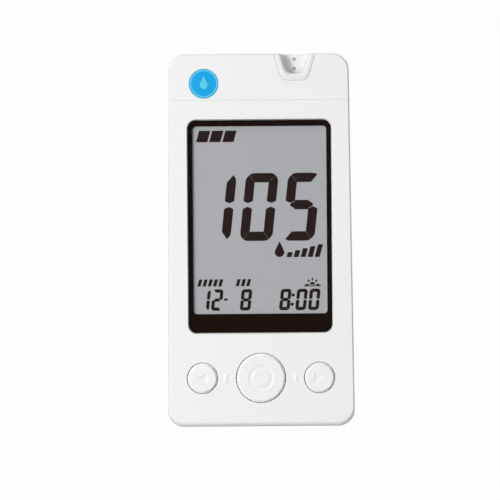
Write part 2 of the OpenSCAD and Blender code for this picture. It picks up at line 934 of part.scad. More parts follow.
module main_key() {
  color("whitesmoke")
    translate([0, -key_y, 0])
      difference() {
        key_body(main_key_d);
        translate([0, 0, key_top - engrave_t])
          difference() {
            cylinder(d = ring_d + ring_w, h = far, $fn = curve_fn);
            translate([0, 0, -eps])
              cylinder(d = ring_d - ring_w, h = 2 * far, $fn = curve_fn);
          }
      }
}

// ---- Power ----

terminal_tail_w = 2.4;
spring_r_low = 3.6;
spring_r_high = 2.3;
spring_turns = 3;
spring_wire_r = 0.25;
nub_d = 3.8;
nub_l = 0.9;

// One cell with its nub at the end that faces +Y or -Y
module cell(x, nub_side) {
  low_y = nub_side > 0 ? bay_low_y + plate_t + spring_h : bay_low_y + plate_t + fit;
  can_low = nub_side > 0 ? low_y : low_y + nub_l;
  can_l = cell_l - nub_l;
  translate([x, 0, cell_z])
    rotate([-90, 0, 0]) {
      translate([0, 0, can_low])
        cylinder(d = cell_d, h = can_l, $fn = curve_fn);
      translate([0, 0, nub_side > 0 ? can_low + can_l - eps : low_y])
        cylinder(d = nub_d, h = nub_l + eps, $fn = curve_fn);
    }
}

module battery_left() {
  color("slategray")
    cell(-cell_x, 1);
}

module battery_right() {
  color("slategray")
    cell(cell_x, -1);
}

module battery_springs() {
  h = spring_h - fit;
  color("silver") {
    translate([-cell_x, bay_low_y + plate_t + seat_fit, cell_z])
      rotate([-90, 0, 0])
        coil(spring_r_low, spring_r_high, h - seat_fit, spring_turns, spring_wire_r);
    translate([cell_x, bay_high_y - plate_t - seat_fit, cell_z])
      rotate([90, 0, 0])
        coil(spring_r_low, spring_r_high, h - seat_fit, spring_turns, spring_wire_r);
  }
}

module series_plate() {
  plate_half = cell_x + spring_r_low + 2 * spring_wire_r;
  plate_h = spring_r_low + 2 * spring_wire_r;
  color("silver")
    block([-plate_half, bay_low_y, cell_z - plate_h],
          [plate_half, bay_low_y + plate_t, cell_z + plate_h]);
}

module terminal_plates() {
  plate_half = spring_r_low + 2 * spring_wire_r;
  color("silver")
    for (side = sides) {
      block([side * cell_x - plate_half, bay_high_y - plate_t, cell_z - plate_half],
            [side * cell_x + plate_half, bay_high_y, cell_z + plate_half]);
      block([side * cell_x - terminal_tail_w / 2, bay_high_y - plate_t, cell_z],
            [side * cell_x + terminal_tail_w / 2, bay_high_y, board_z]);
    }
}

front_cover();
port_cap();
rear_cover();
battery_door();
badge_disc();
strip_guide();
guide_pins();
display_lens();
lens_border();
lens_tape();
lcd_front_polariser();
lcd_front_glass();
lcd_rear_glass();
lcd_reflector();
lcd_holder();
lcd_connector();
main_board();
board_screws();
controller_chip();
clock_crystal();
board_parts();
buzzer();
strip_connector();
strip_contacts();
key_switches();
plunger(-key_pitch);  // plunger_left
plunger(0);  // plunger_main
plunger(key_pitch);  // plunger_right
side_key(-1);  // button_left
main_key();  // button_main
side_key(1);  // button_right
battery_left();
battery_right();
battery_springs();
series_plate();
terminal_plates();
case_screws();
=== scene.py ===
# %% [markdown]
# # Dressing a blood glucose meter
# The real object is a handheld meter, about 98 mm long, moulded in satin white ABS, with a grey
# display, three keys and a port for test strips. Its back and its inside follow how such meters are
# usually made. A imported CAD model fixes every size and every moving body. This lesson builds the
# pieces with the edges and finishes of mouldings, then sets up a floor, lights and a camera.
#
# The CAD meshes could be shown as they are, but their edges are plain and they have no finish. So
# most of those that are seen are built again in more detail. The frame says where each one goes, and
# its box is kept, because the dressed model has to stay inside it.

# %% Load the frame
import json
import math

import bmesh
import bpy
from mathutils import Matrix, Vector

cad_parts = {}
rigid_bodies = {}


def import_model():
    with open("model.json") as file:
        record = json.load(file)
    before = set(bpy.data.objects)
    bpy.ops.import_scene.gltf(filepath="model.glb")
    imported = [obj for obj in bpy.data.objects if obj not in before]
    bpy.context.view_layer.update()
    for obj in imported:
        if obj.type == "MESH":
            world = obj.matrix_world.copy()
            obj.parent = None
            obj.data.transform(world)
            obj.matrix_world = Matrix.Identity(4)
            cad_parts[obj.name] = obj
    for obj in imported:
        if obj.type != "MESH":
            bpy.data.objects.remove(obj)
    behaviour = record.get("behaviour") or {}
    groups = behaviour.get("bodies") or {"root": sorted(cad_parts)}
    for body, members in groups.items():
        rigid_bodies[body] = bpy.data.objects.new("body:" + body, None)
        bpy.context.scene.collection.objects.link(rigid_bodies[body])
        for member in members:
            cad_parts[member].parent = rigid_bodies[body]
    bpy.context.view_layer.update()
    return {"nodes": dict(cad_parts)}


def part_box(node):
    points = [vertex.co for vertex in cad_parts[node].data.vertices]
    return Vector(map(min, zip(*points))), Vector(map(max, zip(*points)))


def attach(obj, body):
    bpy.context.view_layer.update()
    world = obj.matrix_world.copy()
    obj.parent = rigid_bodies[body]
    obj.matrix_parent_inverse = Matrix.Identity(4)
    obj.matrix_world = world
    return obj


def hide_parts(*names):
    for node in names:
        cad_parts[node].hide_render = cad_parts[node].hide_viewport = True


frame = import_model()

MM = 0.001

# %% [markdown]
# The body is a rounded trapezoid: its four corners share one radius, and its sides lean in a little
# towards the strip port. Its sizes could be typed in again, but then they could drift away from the
# CAD. So every place comes from the boxes of the CAD nodes, and only radii, walls and gaps are
# written here. The numbers are millimetres, as on a drawing, and each piece is shrunk to metres once
# it is done.

# %% Read the body's sizes
def box_mm(node):
    """The lowest and highest corner of a CAD node, in millimetres."""
    low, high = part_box(node)
    return low / MM, high / MM


def centre_mm(node):
    """The middle of a CAD node's box, in millimetres."""
    low, high = box_mm(node)
    return (low + high) / 2


SEAM = 0.14
SEAM_GAP = 0.03
CORNER_R = 4.3
BACK_ROUND = 1.3
LIP_ROUND = 0.12
WALL = 1.8
FIT = 0.1
OVERLAP = 0.01
FAR = 80

front_low, front_high = box_mm("front_cover")
cap_low, cap_high = box_mm("port_cap")
polariser_high = box_mm("lcd_front_polariser")[1]
FACE_Z = cap_high.z
UNDER_Z = polariser_high.z + FIT
SPLIT_Z = front_low.z - SEAM / 2
SEAM_Y = cap_low.y - SEAM / 2
HALF_L = cap_high.y
HALF_W = front_high.x
low_corner = Vector((front_high.x - CORNER_R, CORNER_R - HALF_L))
side_slope = (cap_high.x - front_high.x) / (cap_low.y - low_corner.y)
high_corner = Vector((low_corner.x - 2 * low_corner.y * side_slope, -low_corner.y))
print("face", round(FACE_Z, 2), "seam", round(SEAM_Y, 2), "slope", round(side_slope, 4))

# %% [markdown]
# A moulding has walls, lips and holes that follow each other. It could be pulled out of a cube by
# hand. Here each one is a stack of rings instead, and a ring is a list of points at one height. Every
# outline is a function of how far it has grown, so one outline gives a wall, the lip of a hole and
# the inside of a shell, with an even thickness between them.

# %% Outlines
def arc(x, y, r, start, end, steps):
    """Points on an arc, both ends included, with angles in degrees."""
    turns = [math.radians(start + (end - start) * i / steps) for i in range(steps + 1)]
    return [(x + r * math.cos(a), y + r * math.sin(a)) for a in turns]


def body_outline(grow=0):
    """The rounded trapezoid of the body."""
    r = CORNER_R + grow
    lean = math.degrees(math.atan(-side_slope))
    right = arc(*low_corner, r, -90, lean, 12) + arc(*high_corner, r, lean, 90, 12)
    return right + [(-x, y) for x, y in reversed(right)]


def circle(x, y, r, steps=72):
    """An outline function for a circle."""
    return lambda grow=0: arc(x, y, r + grow, 0, 360 - 360 / steps, steps - 1)


def slab(x, y, w, l, r, steps=8):
    """An outline function for a rectangle with round corners."""
    def outline(grow=0):
        dx, dy = w / 2 - r, l / 2 - r
        corners = [(dx, -dy, -90), (dx, dy, 0), (-dx, dy, 90), (-dx, -dy, 180)]
        return [p for cx, cy, a in corners for p in arc(x + cx, y + cy, r + grow, a, a + 90, steps)]
    return outline


print("points round the body:", len(body_outline()))

# %% [markdown]
# No edge of a moulding is quite sharp, because the mould's own corners aren't. A Bevel modifier
# rounds small edges well, but the body's front edge is rounded by a different amount at each
# end, so its rings are placed one by one. The front edge is a quarter of an ellipse, taller than deep.
# Raised and engraved marks get a soft S-shaped slope.

# %% Rounded edges and soft slopes
ROUND_HEIGHT = 2.4
ROUND_SIDE = 0.55
ROUND_LOW_END = 1.45
ROUND_HIGH_END = 0.5


def edge(outline, z, r, grow, up=1, steps=4):
    """Rings that round an edge, from the wall to the flat face at z: grow is -1 round a solid
    and 1 round a hole, and up is -1 where the face looks down."""
    turns = [math.radians(90 * i / steps) for i in range(steps + 1)]
    return [(outline(grow * r * (1 - math.cos(a))), z - up * r * (1 - math.sin(a))) for a in turns]


def face_edge(z, sunk=0, steps=8):
    """Rings round the front edge of the body, which is deepest at the low end. sunk puts them
    under that skin."""
    levels = []
    for i in range(steps + 1):
        a = math.radians(90 * i / steps)
        inward, down = 1 - math.cos(a), 1 - math.sin(a)
        side = 1 - inward * ROUND_SIDE / HALF_W
        low_end = 1 - inward * ROUND_LOW_END / HALF_L
        high_end = 1 - inward * ROUND_HIGH_END / HALF_L
        points = [(x * side, y * (low_end if y < 0 else high_end)) for x, y in body_outline(-sunk)]
        levels.append((points, z - sunk - down * ROUND_HEIGHT))
    return levels


def slope(outline, low, high, grow_low, grow_high, steps=5):
    """Rings up a soft S-shaped slope between two heights."""
    parts = [i / steps for i in range(steps + 1)]
    soft = [t * t * (3 - 2 * t) for t in parts]
    return [(outline(grow_low + (grow_high - grow_low) * t), low + (high - low) * u)
            for t, u in zip(parts, soft)]


print("front edge: starts", ROUND_HEIGHT, "mm under the face and takes", ROUND_SIDE, "mm of each side")

# %% [markdown]
# A form is a mesh in the making. It joins rings with bands of faces, closes them with caps, and
# fills a flat face round its holes. bmesh is used because it keeps the faces that were meant, which
# a remesh or a chain of modifiers wouldn't. Flat faces are merged again afterwards, because long
# thin triangles shade badly once an edge is rounded.

# %% Forms
class Form:
    """A mesh in the making, in millimetres."""

    def __init__(self):
        self.bm = bmesh.new()

    def ring(self, points, z):
        return [self.bm.verts.new((x, y, z)) for x, y in points]

    def band(self, low, high):
        for i, corner in enumerate(low):
            self.bm.faces.new((low[i - 1], corner, high[i], high[i - 1]))

    def tube(self, levels):
        """Bands through a list of (points, z), as their rings of vertices."""
        rings = [self.ring(points, z) for points, z in levels]
        for low, high in zip(rings, rings[1:]):
            self.band(low, high)
        return rings

    def plate(self, *rings):
        """Fills the flat face between an outer ring and the rings of its holes."""
        pairs = [(ring[i - 1], ring[i]) for ring in rings for i in range(len(ring))]
        edges = [self.bm.edges.get(p) or self.bm.edges.new(p) for p in pairs]
        bmesh.ops.triangle_fill(self.bm, edges=edges, use_beauty=True, normal=(0, 0, 1))

    def solid(self, levels):
        """A closed solid through a list of (points, z)."""
        rings = self.tube(levels)
        self.bm.faces.new(rings[0])
        self.bm.faces.new(rings[-1])

    def washer(self, inner, outer, low, high):
        """A flat solid between an inner and an outer outline's points."""
        rings = self.tube([(inner, low), (inner, high), (outer, high), (outer, low)])
        self.band(rings[3], rings[0])

    def trim(self, y, keep):
        """Cuts the form off at a distance along the body and closes the cut. keep is 1 for the
        part above y and -1 for the part below it."""
        geometry = self.bm.verts[:] + self.bm.edges[:] + self.bm.faces[:]
        cut = bmesh.ops.bisect_plane(self.bm, geom=geometry, plane_co=(0, y, 0),
                                     plane_no=(0, -keep, 0), clear_outer=True)
        edges = [e for e in cut["geom_cut"] if isinstance(e, bmesh.types.BMEdge)]
        bmesh.ops.triangle_fill(self.bm, edges=edges, use_beauty=True, normal=(0, keep, 0))

    def piece(self, name):
        """The form as an object, still in millimetres."""
        tidy(self.bm)
        mesh = bpy.data.meshes.new(name)
        self.bm.to_mesh(mesh)
        self.bm.free()
        made = bpy.data.objects.new(name, mesh)
        bpy.context.scene.collection.objects.link(made)
        return made


def tidy(bm, flat=math.radians(0.5), close=0.002):
    """Joins doubled vertices, merges flat faces and turns every face outwards."""
    bmesh.ops.remove_doubles(bm, verts=bm.verts, dist=close)
    bmesh.ops.dissolve_limit(bm, angle_limit=flat, verts=bm.verts, edges=bm.edges)
    bmesh.ops.recalc_face_normals(bm, faces=bm.faces)


# %% [markdown]
# Some openings cross an edge or a wall, such as the notch for the strip port, and rings can't follow
# that. Those are cut with a Boolean modifier. It is applied at once, so that the next step works on
# plain faces and the result can be tidied.

# %% Cutting and joining
def carve(piece, cutter, operation="DIFFERENCE"):
    """Cuts a form from a piece, or joins it, and uses the form up."""
    tool = cutter.piece("cutter")
    modifier = piece.modifiers.new("carve", "BOOLEAN")
    modifier.operation = operation
    modifier.solver = "EXACT"
    modifier.object = tool
    depsgraph = bpy.context.evaluated_depsgraph_get()
    mesh = bpy.data.meshes.new_from_object(piece.evaluated_get(depsgraph))
    piece.modifiers.clear()
    bm = bmesh.new()
    bm.from_mesh(mesh)
    tidy(bm)
    bm.to_mesh(mesh)
    bm.free()
    piece.data = mesh
    bpy.data.objects.remove(tool)


def prism(points, low, high):
    """A straight solid over an outline's points."""
    form = Form()
    form.solid([(points, low), (points, high)])
    return form


def block(low, high):
    """A box between two corners."""
    return prism([(low[0], low[1]), (high[0], low[1]), (high[0], high[1]), (low[0], high[1])],
                 low[2], high[2])


# %% [markdown]
# ## Finishes
# Each finish is a node tree. Trees can be wired by hand, link by link, but sums are hard to read
# that way. Here a Wire holds a socket, and adding or multiplying wires adds Math nodes, so the maths
# reads as Python. Everything else comes from one method, which takes a node's type, its settings and
# its inputs.

# %% A way to write node trees
class Wire:
    """An output socket that Python's operators work on."""

    def __init__(self, finish, socket):
        self.finish = finish
        self.socket = socket

    def maths(self, operation, first, second):
        return self.finish.node("Math", {"operation": operation}, {0: first, 1: second})

    def __add__(self, other):
        return self.maths("ADD", self, other)

    def __sub__(self, other):
        return self.maths("SUBTRACT", self, other)

    def __mul__(self, other):
        return self.maths("MULTIPLY", self, other)

    def __gt__(self, other):
        return self.maths("GREATER_THAN", self, other)

    def __lt__(self, other):
        return self.maths("LESS_THAN", self, other)

    def __radd__(self, other):
        return self.maths("ADD", other, self)

    def __rsub__(self, other):
        return self.maths("SUBTRACT", other, self)

    def __rmul__(self, other):
        return self.maths("MULTIPLY", other, self)


class Finish:
    """A material in the making."""

    def __init__(self, name):
        self.material = bpy.data.materials.new(name)
        self.material.use_nodes = True
        self.tree = self.material.node_tree
        self.tree.nodes.clear()

    def node(self, kind, settings=None, inputs=None, output=0):
        made = self.tree.nodes.new("ShaderNode" + kind)
        for name, value in (settings or {}).items():
            setattr(made, name, value)
        for name, value in (inputs or {}).items():
            if isinstance(value, Wire):
                self.tree.links.new(value.socket, made.inputs[name])
            else:
                made.inputs[name].default_value = value
        return Wire(self, made.outputs[output]) if made.outputs else None

    def mix(self, factor, first, second):
        """A colour between two colours."""
        return self.node("Mix", {"data_type": "RGBA"}, {0: factor, 6: first, 7: second}, 2)

    def place(self):
        """Where a point lies on its piece, in metres."""
        return self.node("TexCoord", output="Object")

    def noise(self, size, detail=2):
        """Cloudy noise from 0 to 1 whose patches are about size millimetres wide."""
        return self.node("TexNoise", {}, {"Vector": self.place(), "Scale": 1 / (size * MM),
                                          "Detail": detail})

    def bump(self, height, depth):
        """A surface raised by height times depth, in millimetres."""
        return self.node("Bump", {}, {"Height": height, "Distance": depth * MM})

    def surface(self, inputs):
        """The finished material, from the inputs of its one shader."""
        shader = self.node("BsdfPrincipled", {}, inputs)
        self.node("OutputMaterial", {}, {"Surface": shader})
        return self.material


def colour(red, green, blue):
    """A screen colour, 0 to 255, as the linear colour that shaders use."""
    parts = [v / 255 for v in (red, green, blue)]
    return tuple(v / 12.92 if v < 0.04045 else ((v + 0.055) / 1.055) ** 2.4 for v in parts) + (1,)


def shade(tone, factor):
    """A colour made darker or lighter by a factor."""
    return tuple(v * factor for v in tone[:3]) + (1,)


print("mid grey on screen is", round(colour(128, 128, 128)[0], 3), "in a shader")

# %% [markdown]
# The case is ABS with the fine matt grain, about 0.2 mm across, of a spark-eroded mould. An image of
# such grain could be wrapped round it, but noise has no seams and keeps its size on every piece.
# The grain goes into a bump and into the roughness. Broad, faint patches stand for the way thick
# mouldings cool. The same recipe with other numbers gives every other moulded plastic.

# %% Moulded plastic
GRAIN_ROUGH = 0.16
PATCH_ROUGH = 0.08


def moulded(name, tone, rough=0.4, grain=0.2, depth=0.004, patch=14, cloud=0.02):
    finish = Finish(name)
    fine = finish.noise(grain)
    broad = finish.noise(patch, 3)
    return finish.surface({
        "Base Color": finish.mix(broad, shade(tone, 1 + cloud), shade(tone, 1 - cloud)),
        "Roughness": rough + (fine - 0.5) * GRAIN_ROUGH + (broad - 0.5) * PATCH_ROUGH,
        "Normal": finish.bump(fine, depth),
    })


case_white = moulded("case_abs", colour(240, 240, 240))
key_white = moulded("key_abs", colour(241, 241, 241), rough=0.36, grain=0.16, depth=0.003)
guide_white = moulded("guide_abs", colour(236, 236, 236), rough=0.28, grain=0.3, depth=0.002)
holder_white = moulded("holder_polycarbonate", colour(226, 226, 222), rough=0.45, depth=0.006)
connector_dark = moulded("glass_filled_nylon", colour(62, 62, 65), rough=0.5, grain=0.12, depth=0.01)
plunger_black = moulded("moulded_nylon", colour(48, 48, 48), rough=0.42)
chip_black = moulded("moulded_epoxy", colour(38, 38, 40), rough=0.55, grain=0.08, depth=0.006)
elastomer = moulded("silicone_strip", colour(222, 160, 160), rough=0.6, grain=0.1)
tape_grey = moulded("adhesive_tape", colour(148, 148, 148), rough=0.7, grain=0.1)
print("finishes so far:", [m.name for m in bpy.data.materials])

# %% [markdown]
# The contacts, screws and springs are plated metal. Metals differ in tone, in how rough they are and
# in which way they were drawn. Anisotropic shading could show the drawing, but it doesn't export, so
# a noise that is stretched along one axis gives the fine lines of sheet and wire.

# %% Metals
LINE_SCALE = 900
LINE_ROUGH = 0.2
TARNISH = (1.06, 0.88)
TARNISH_ROUGH = 0.1


def drawn(name, tone, rough=0.3, stretch=(1, 12, 12), depth=0.002):
    finish = Finish(name)
    along = finish.node("VectorMath", {"operation": "MULTIPLY"}, {0: finish.place(), 1: stretch}, 0)
    lines = finish.node("TexNoise", {}, {"Vector": along, "Scale": LINE_SCALE, "Detail": 3})
    tarnish = finish.noise(3, 3)
    return finish.surface({
        "Base Color": finish.mix(tarnish, shade(tone, TARNISH[0]), shade(tone, TARNISH[1])),
        "Metallic": 1.0,
        "Roughness": rough + (lines - 0.5) * LINE_ROUGH + (tarnish - 0.5) * TARNISH_ROUGH,
        "Normal": finish.bump(lines, depth),
    })


contact_gold = drawn("gold_plated_bronze", colour(206, 160, 96), rough=0.26)
pin_bronze = drawn("dulled_bronze", colour(170, 146, 126), rough=0.42)
contact_nickel = drawn("nickel_plated_steel", colour(205, 202, 195))
screw_steel = drawn("zinc_plated_steel", colour(196, 197, 199), rough=0.34, stretch=(3, 3, 3))
can_metal = drawn("drawn_can", colour(214, 214, 217), rough=0.22)
print("metals:", [m.name for m in (contact_gold, pin_bronze, contact_nickel, screw_steel, can_metal)])

# %% [markdown]
# The badge, the display border and the dark parts of the display are inks. An ink film is smooth
# with a slight orange peel, like paint, so it gets a broad, shallow bump. The border lies under the
# lens, where ink has next to no shine of its own. That is what its low specular value is for.

# %% Printed surfaces
PEEL_ROUGH = 0.1
PEEL_DEPTH = 0.002


def printed(name, tone, rough=0.3, peel=0.5, specular=0.5, cloud=0.03):
    finish = Finish(name)
    waves = finish.noise(peel)
    broad = finish.noise(6, 3)
    return finish.surface({
        "Base Color": finish.mix(broad, shade(tone, 1 + cloud), shade(tone, 1 - cloud)),
        "Roughness": rough + (waves - 0.5) * PEEL_ROUGH,
        "Specular IOR Level": specular,
        "Normal": finish.bump(waves, PEEL_DEPTH),
    })


badge_blue = printed("badge_ink", colour(10, 166, 230), rough=0.32, specular=0.2)
badge_light = printed("badge_mark_ink", colour(92, 206, 238), rough=0.32, specular=0.2)
border_black = printed("border_ink", colour(25, 12, 7), rough=0.5, specular=0.01, cloud=0.08)
segment_dark = printed("display_segments", colour(40, 29, 27), rough=0.55, specular=0.03, cloud=0.05)
print("inks:", [m.name for m in (badge_blue, badge_light, border_black, segment_dark)])

# %% [markdown]
# The lens and the display panes are clear. Glass shaders bend light, which is slow and noisy through
# five layers, so a constant alpha on the plain shader is used instead. It is light to render and
# easy to export. Only the roughness varies, as on wiped glass. The polariser is what gives a display
# its grey, so it is the least clear of the layers.

# %% Clear layers
WIPED_ROUGH = 0.06
DISPLAY_TONE = colour(194, 195, 199)


def clear(name, tone, alpha, rough=0.06, specular=0.5):
    finish = Finish(name)
    wiped = finish.noise(9, 3)
    return finish.surface({
        "Base Color": finish.mix(wiped, tone, shade(tone, 0.97)),
        "Roughness": rough + wiped * WIPED_ROUGH,
        "Specular IOR Level": specular,
        "Alpha": alpha,
    })


lens_clear = clear("acrylic_lens", colour(36, 38, 40), 0.04, specular=0.3)
pane_glass = clear("display_glass", colour(205, 212, 210), 0.06)
film_clear = clear("polariser_film", DISPLAY_TONE, 0.9, rough=0.5, specular=0.1)
reflector_grey = printed("reflector_film", DISPLAY_TONE, rough=0.5, peel=0.2, specular=0.2)
print("display grey:", [round(v, 3) for v in DISPLAY_TONE[:3]])

# %% [markdown]
# A circuit board is green solder mask over copper, and the tracks show under it as slightly raised,
# lighter lanes. They could be drawn one by one, but only their pattern shows. Cells whose
# distance is measured along the axes have straight borders, which read as lanes and pads. The small parts
# are sintered ceramic with paler ends.

# %% Circuit board
LANES = 420
LANE_EDGE = 0.42


def solder_mask():
    finish = Finish("solder_mask")
    lanes = finish.node("TexVoronoi", {"distance": "MANHATTAN", "feature": "F1"},
                        {"Vector": finish.place(), "Scale": LANES, "Randomness": 0.35}, "Distance")
    copper = lanes > LANE_EDGE
    return finish.surface({
        "Base Color": finish.mix(copper, colour(24, 98, 52), colour(44, 128, 66)),
        "Roughness": 0.34 + finish.noise(1.5) * 0.1,
        "Normal": finish.bump(copper, 0.02),
    })


def ceramic():
    finish = Finish("sintered_ceramic")
    ends = finish.noise(0.9, 1)
    return finish.surface({
        "Base Color": finish.mix(ends, colour(176, 140, 104), colour(150, 116, 84)),
        "Roughness": 0.5 + ends * 0.2,
        "Normal": finish.bump(finish.noise(0.1), 0.004),
    })


board_green = solder_mask()
part_tan = ceramic()
print("board finishes:", board_green.name, part_tan.name)

# %% [markdown]
# A battery cell is a steel can in a printed sleeve. Its sleeve could be a separate tube, but a real
# one is a very thin film. So one finish is masked by the distance along the
# cell: a coloured collar at the nub's end, then the dark sleeve, and bare metal at both rims.

# %% Cell sleeve
COLLAR_L = 9
BARE_RIM = 0.7
FILM_DULL = 0.55


def sleeve(name, low, high, nub_side):
    """A sleeve between two distances along the body, in metres."""
    finish = Finish(name)
    along = finish.node("SeparateXYZ", {}, {0: finish.place()}, "Y")
    from_nub = high - along if nub_side > 0 else along - low
    past_collar = from_nub > COLLAR_L * MM
    film = (along > low + BARE_RIM * MM) * (high - BARE_RIM * MM > along)
    ink = finish.mix(past_collar, colour(196, 116, 58), colour(52, 62, 78))
    scuffs = finish.noise(1.2, 4)
    return finish.surface({
        "Base Color": finish.mix(film, colour(190, 190, 190), ink),
        "Metallic": 1.0 - film * FILM_DULL,
        "Roughness": 0.3 + scuffs * 0.14,
        "Normal": finish.bump(scuffs, 0.004),
    })


# %% [markdown]
# ## Putting a piece in its place
# A finished piece is shrunk to metres, gets its last small edge radius from a Bevel modifier, and
# rides on its body. Smooth shading alone would tint flat faces near their edges. The Weighted Normal
# modifier lets the large flat faces decide how a corner is shaded, so they stay flat right up to it.

# %% Place a piece
SHARP = math.radians(40)


def smooth(piece, radius, steps=2):
    """Rounds the edges that are still sharp and shades the piece smooth."""
    piece.data.polygons.foreach_set("use_smooth", [True] * len(piece.data.polygons))
    if radius:
        bevel = piece.modifiers.new("edges", "BEVEL")
        bevel.width = radius
        bevel.segments = steps
        bevel.limit_method = "ANGLE"
        bevel.angle_limit = SHARP
        bevel.use_clamp_overlap = False
        bevel.miter_outer = "MITER_ARC"
    piece.modifiers.new("normals", "WEIGHTED_NORMAL").weight = 80


def place(piece, body, material, radius, nodes=()):
    """Shrinks a piece to metres, finishes it and lets it ride on a body."""
    piece.data.transform(Matrix.Scale(MM, 4))
    piece.data.materials.clear()
    piece.data.materials.append(material)
    smooth(piece, radius * MM)
    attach(piece, body)
    if nodes:
        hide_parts(*nodes)
    print(f"{piece.name}: {len(piece.data.vertices)} vertices")
    return piece


# %% [markdown]
# ## The front mouldings
# The face has a recess for the lens, three key holes, two small raised bars between the keys and a
# round recess for the badge. They could be cut from a finished body with Booleans, but then each
# rounded lip needs work of its own. Here every hole is a tube of rings that starts with its rounded
# lip, and the flat face is filled round all of them at once.

# %% Holes and bars in the face
KEY_FLANGE = 0.85
KEY_HOLE_LIP = 0.2
BAR = (1.4, 2.8, 0.17)
BAR_CORNER = 0.06
BAR_PLACE = 0.55
BAR_SLOPE_W = 0.6
WINDOW = (35.0, 49.1)
WINDOW_R = 0.9
BORDER_LOW = 5.05
LENS_R = 2.3
BADGE_GAP = 0.05

key_centres = {node: centre_mm(node) for node in ("button_left", "button_main", "button_right")}
lens_low, lens_high = box_mm("lens_border")
lens_size = lens_high - lens_low
lens_y = (lens_low.y + lens_high.y) / 2
ledge_z = box_mm("lens_tape")[0].z
window_y = lens_low.y + BORDER_LOW + WINDOW[1] / 2
badge_low, badge_high = box_mm("badge_disc")
badge_r = (badge_high.x - badge_low.x) / 2


def key_hole_r(node):
    """The radius of a key's hole: its flange's radius less the flange."""
    low, high = box_mm(node)
    return (high.x - low.x) / 2 - KEY_FLANGE


def hole(form, outline, lip, depth_z):
    """A hole in the face with a rounded lip, down to a depth. Gives its first and last rings."""
    top = list(reversed(edge(outline, FACE_Z, lip, 1)))
    rings = form.tube(top + [(outline(), depth_z)])
    return rings[0], rings[-1]


def bar(form, x, y):
    """A small raised bar with soft sides on the face. Gives its foot's ring."""
    outline = slab(x, y, BAR[0], BAR[1], BAR[0] / 2 - BAR_CORNER, 4)
    rings = form.tube(slope(outline, FACE_Z, FACE_Z + BAR[2], 0, -BAR_SLOPE_W))
    form.bm.faces.new(rings[-1])
    return rings[0]


print("key holes:", {node: round(key_hole_r(node), 2) for node in key_centres})

# %% [markdown]
# The front is one bowl, parted by a fine seam into the cover and the port cap. The two could be
# modelled apart, but any small difference in section would show along the seam. So the whole front
# is built by one function, and each piece trims its own copy. Inside, the wall has a step near its
# rim, which the rear moulding's lip slides into.

# %% The front as a whole
LIP_T = 0.85
STEP_H = 1.2


def front_form():
    """The whole front moulding, not yet cut at the seam."""
    form = Form()
    rim_z = SPLIT_Z + SEAM / 2
    step_z = SPLIT_Z + STEP_H
    rim = list(reversed(edge(body_outline, rim_z, LIP_ROUND, -1, -1)))
    outer = form.tube(rim + face_edge(FACE_Z))
    inner = form.tube([(body_outline(-LIP_T), rim_z), (body_outline(-LIP_T), step_z),
                       (body_outline(-WALL), step_z), (body_outline(-WALL), UNDER_Z)])
    form.band(outer[0], inner[0])
    tops, bottoms = [outer[-1]], [inner[-1]]
    for node, centre in key_centres.items():
        top, bottom = hole(form, circle(centre.x, centre.y, key_hole_r(node)), KEY_HOLE_LIP, UNDER_Z)
        tops.append(top)
        bottoms.append(bottom)
    recess = slab(0, lens_y, lens_size.x + 2 * FIT, lens_size.y + 2 * FIT, LENS_R + FIT)
    top, ledge = hole(form, recess, LIP_ROUND, ledge_z)
    window = slab(0, window_y, WINDOW[0] + 4 * FIT, WINDOW[1] + 4 * FIT, WINDOW_R + 2 * FIT)
    inside = form.tube([(window(), ledge_z), (window(), UNDER_Z)])
    form.band(ledge, inside[0])
    tops.append(top)
    bottoms.append(inside[1])
    badge_hole = circle((badge_low.x + badge_high.x) / 2, (badge_low.y + badge_high.y) / 2,
                        badge_r + BADGE_GAP)
    top, floor = hole(form, badge_hole, LIP_ROUND, badge_low.z)
    form.bm.faces.new(floor)
    tops.append(top)
    main = key_centres["button_main"]
    near = main.x + key_hole_r("button_main")
    far = key_centres["button_right"].x - key_hole_r("button_right")
    bar_x = near + BAR_PLACE * (far - near)
    tops += [bar(form, x, main.y) for x in (-bar_x, bar_x)]
    form.plate(*tops)
    form.plate(*bottoms)
    return form


# %% [markdown]
# Posts stand under the face. Four take the case screws, which come from the back, and four hold the
# board. A screw cuts its own thread in a blind pilot hole, so each post is a tube that is closed at
# its top. Where each screw stands is read from the box of the screws' node, so it can't miss its post.

# %% Posts inside the front
SCREW_HEAD_R = 1.9
SCREW_HEAD_H = 1.4
SCREW_R = 1.0
BOARD_HEAD_R = 1.5
BOARD_HEAD_H = 1.0
BOARD_SCREW_R = 0.8
POST_WALL = 1.4
BOARD_POST_R = 1.7
POST_SUNK = 0.02
PILOT_FIT = 0.05
PILOT_ROOF = 1

case_screw = box_mm("case_screws")
board_screw = box_mm("board_screws")
board_top = box_mm("main_board")[1].z


def post(form, x, y, r, low, hole_r):
    """A post from a height up into the face, with a blind pilot hole in its lower end."""
    high = UNDER_Z + POST_SUNK
    outer, inner = circle(x, y, r, 32)(), circle(x, y, hole_r, 32)()
    rings = form.tube([(inner, high - PILOT_ROOF), (inner, low), (outer, low), (outer, high)])
    form.bm.faces.new(rings[0])
    form.bm.faces.new(rings[-1])


def case_posts(form, places):
    """The posts that take the case screws."""
    for x, y in places:
        post(form, x, y, SCREW_R + POST_WALL, SPLIT_Z + SEAM / 2, SCREW_R + PILOT_FIT)


def screw_places(low, high, head_r, lean=0):
    """The centres of four screws: the box of their node less a head's radius. lean is how far
    they move in or out along the body."""
    places = []
    for y in (low.y + head_r, high.y - head_r):
        x = high.x - head_r + lean * (y - low.y - head_r)
        places += [(-x, y), (x, y)]
    return places


case_screws = screw_places(*case_screw, SCREW_HEAD_R, side_slope)
board_screws = screw_places(*board_screw, BOARD_HEAD_R)
print("case screws at", [(round(x, 2), round(y, 2)) for x, y in case_screws])

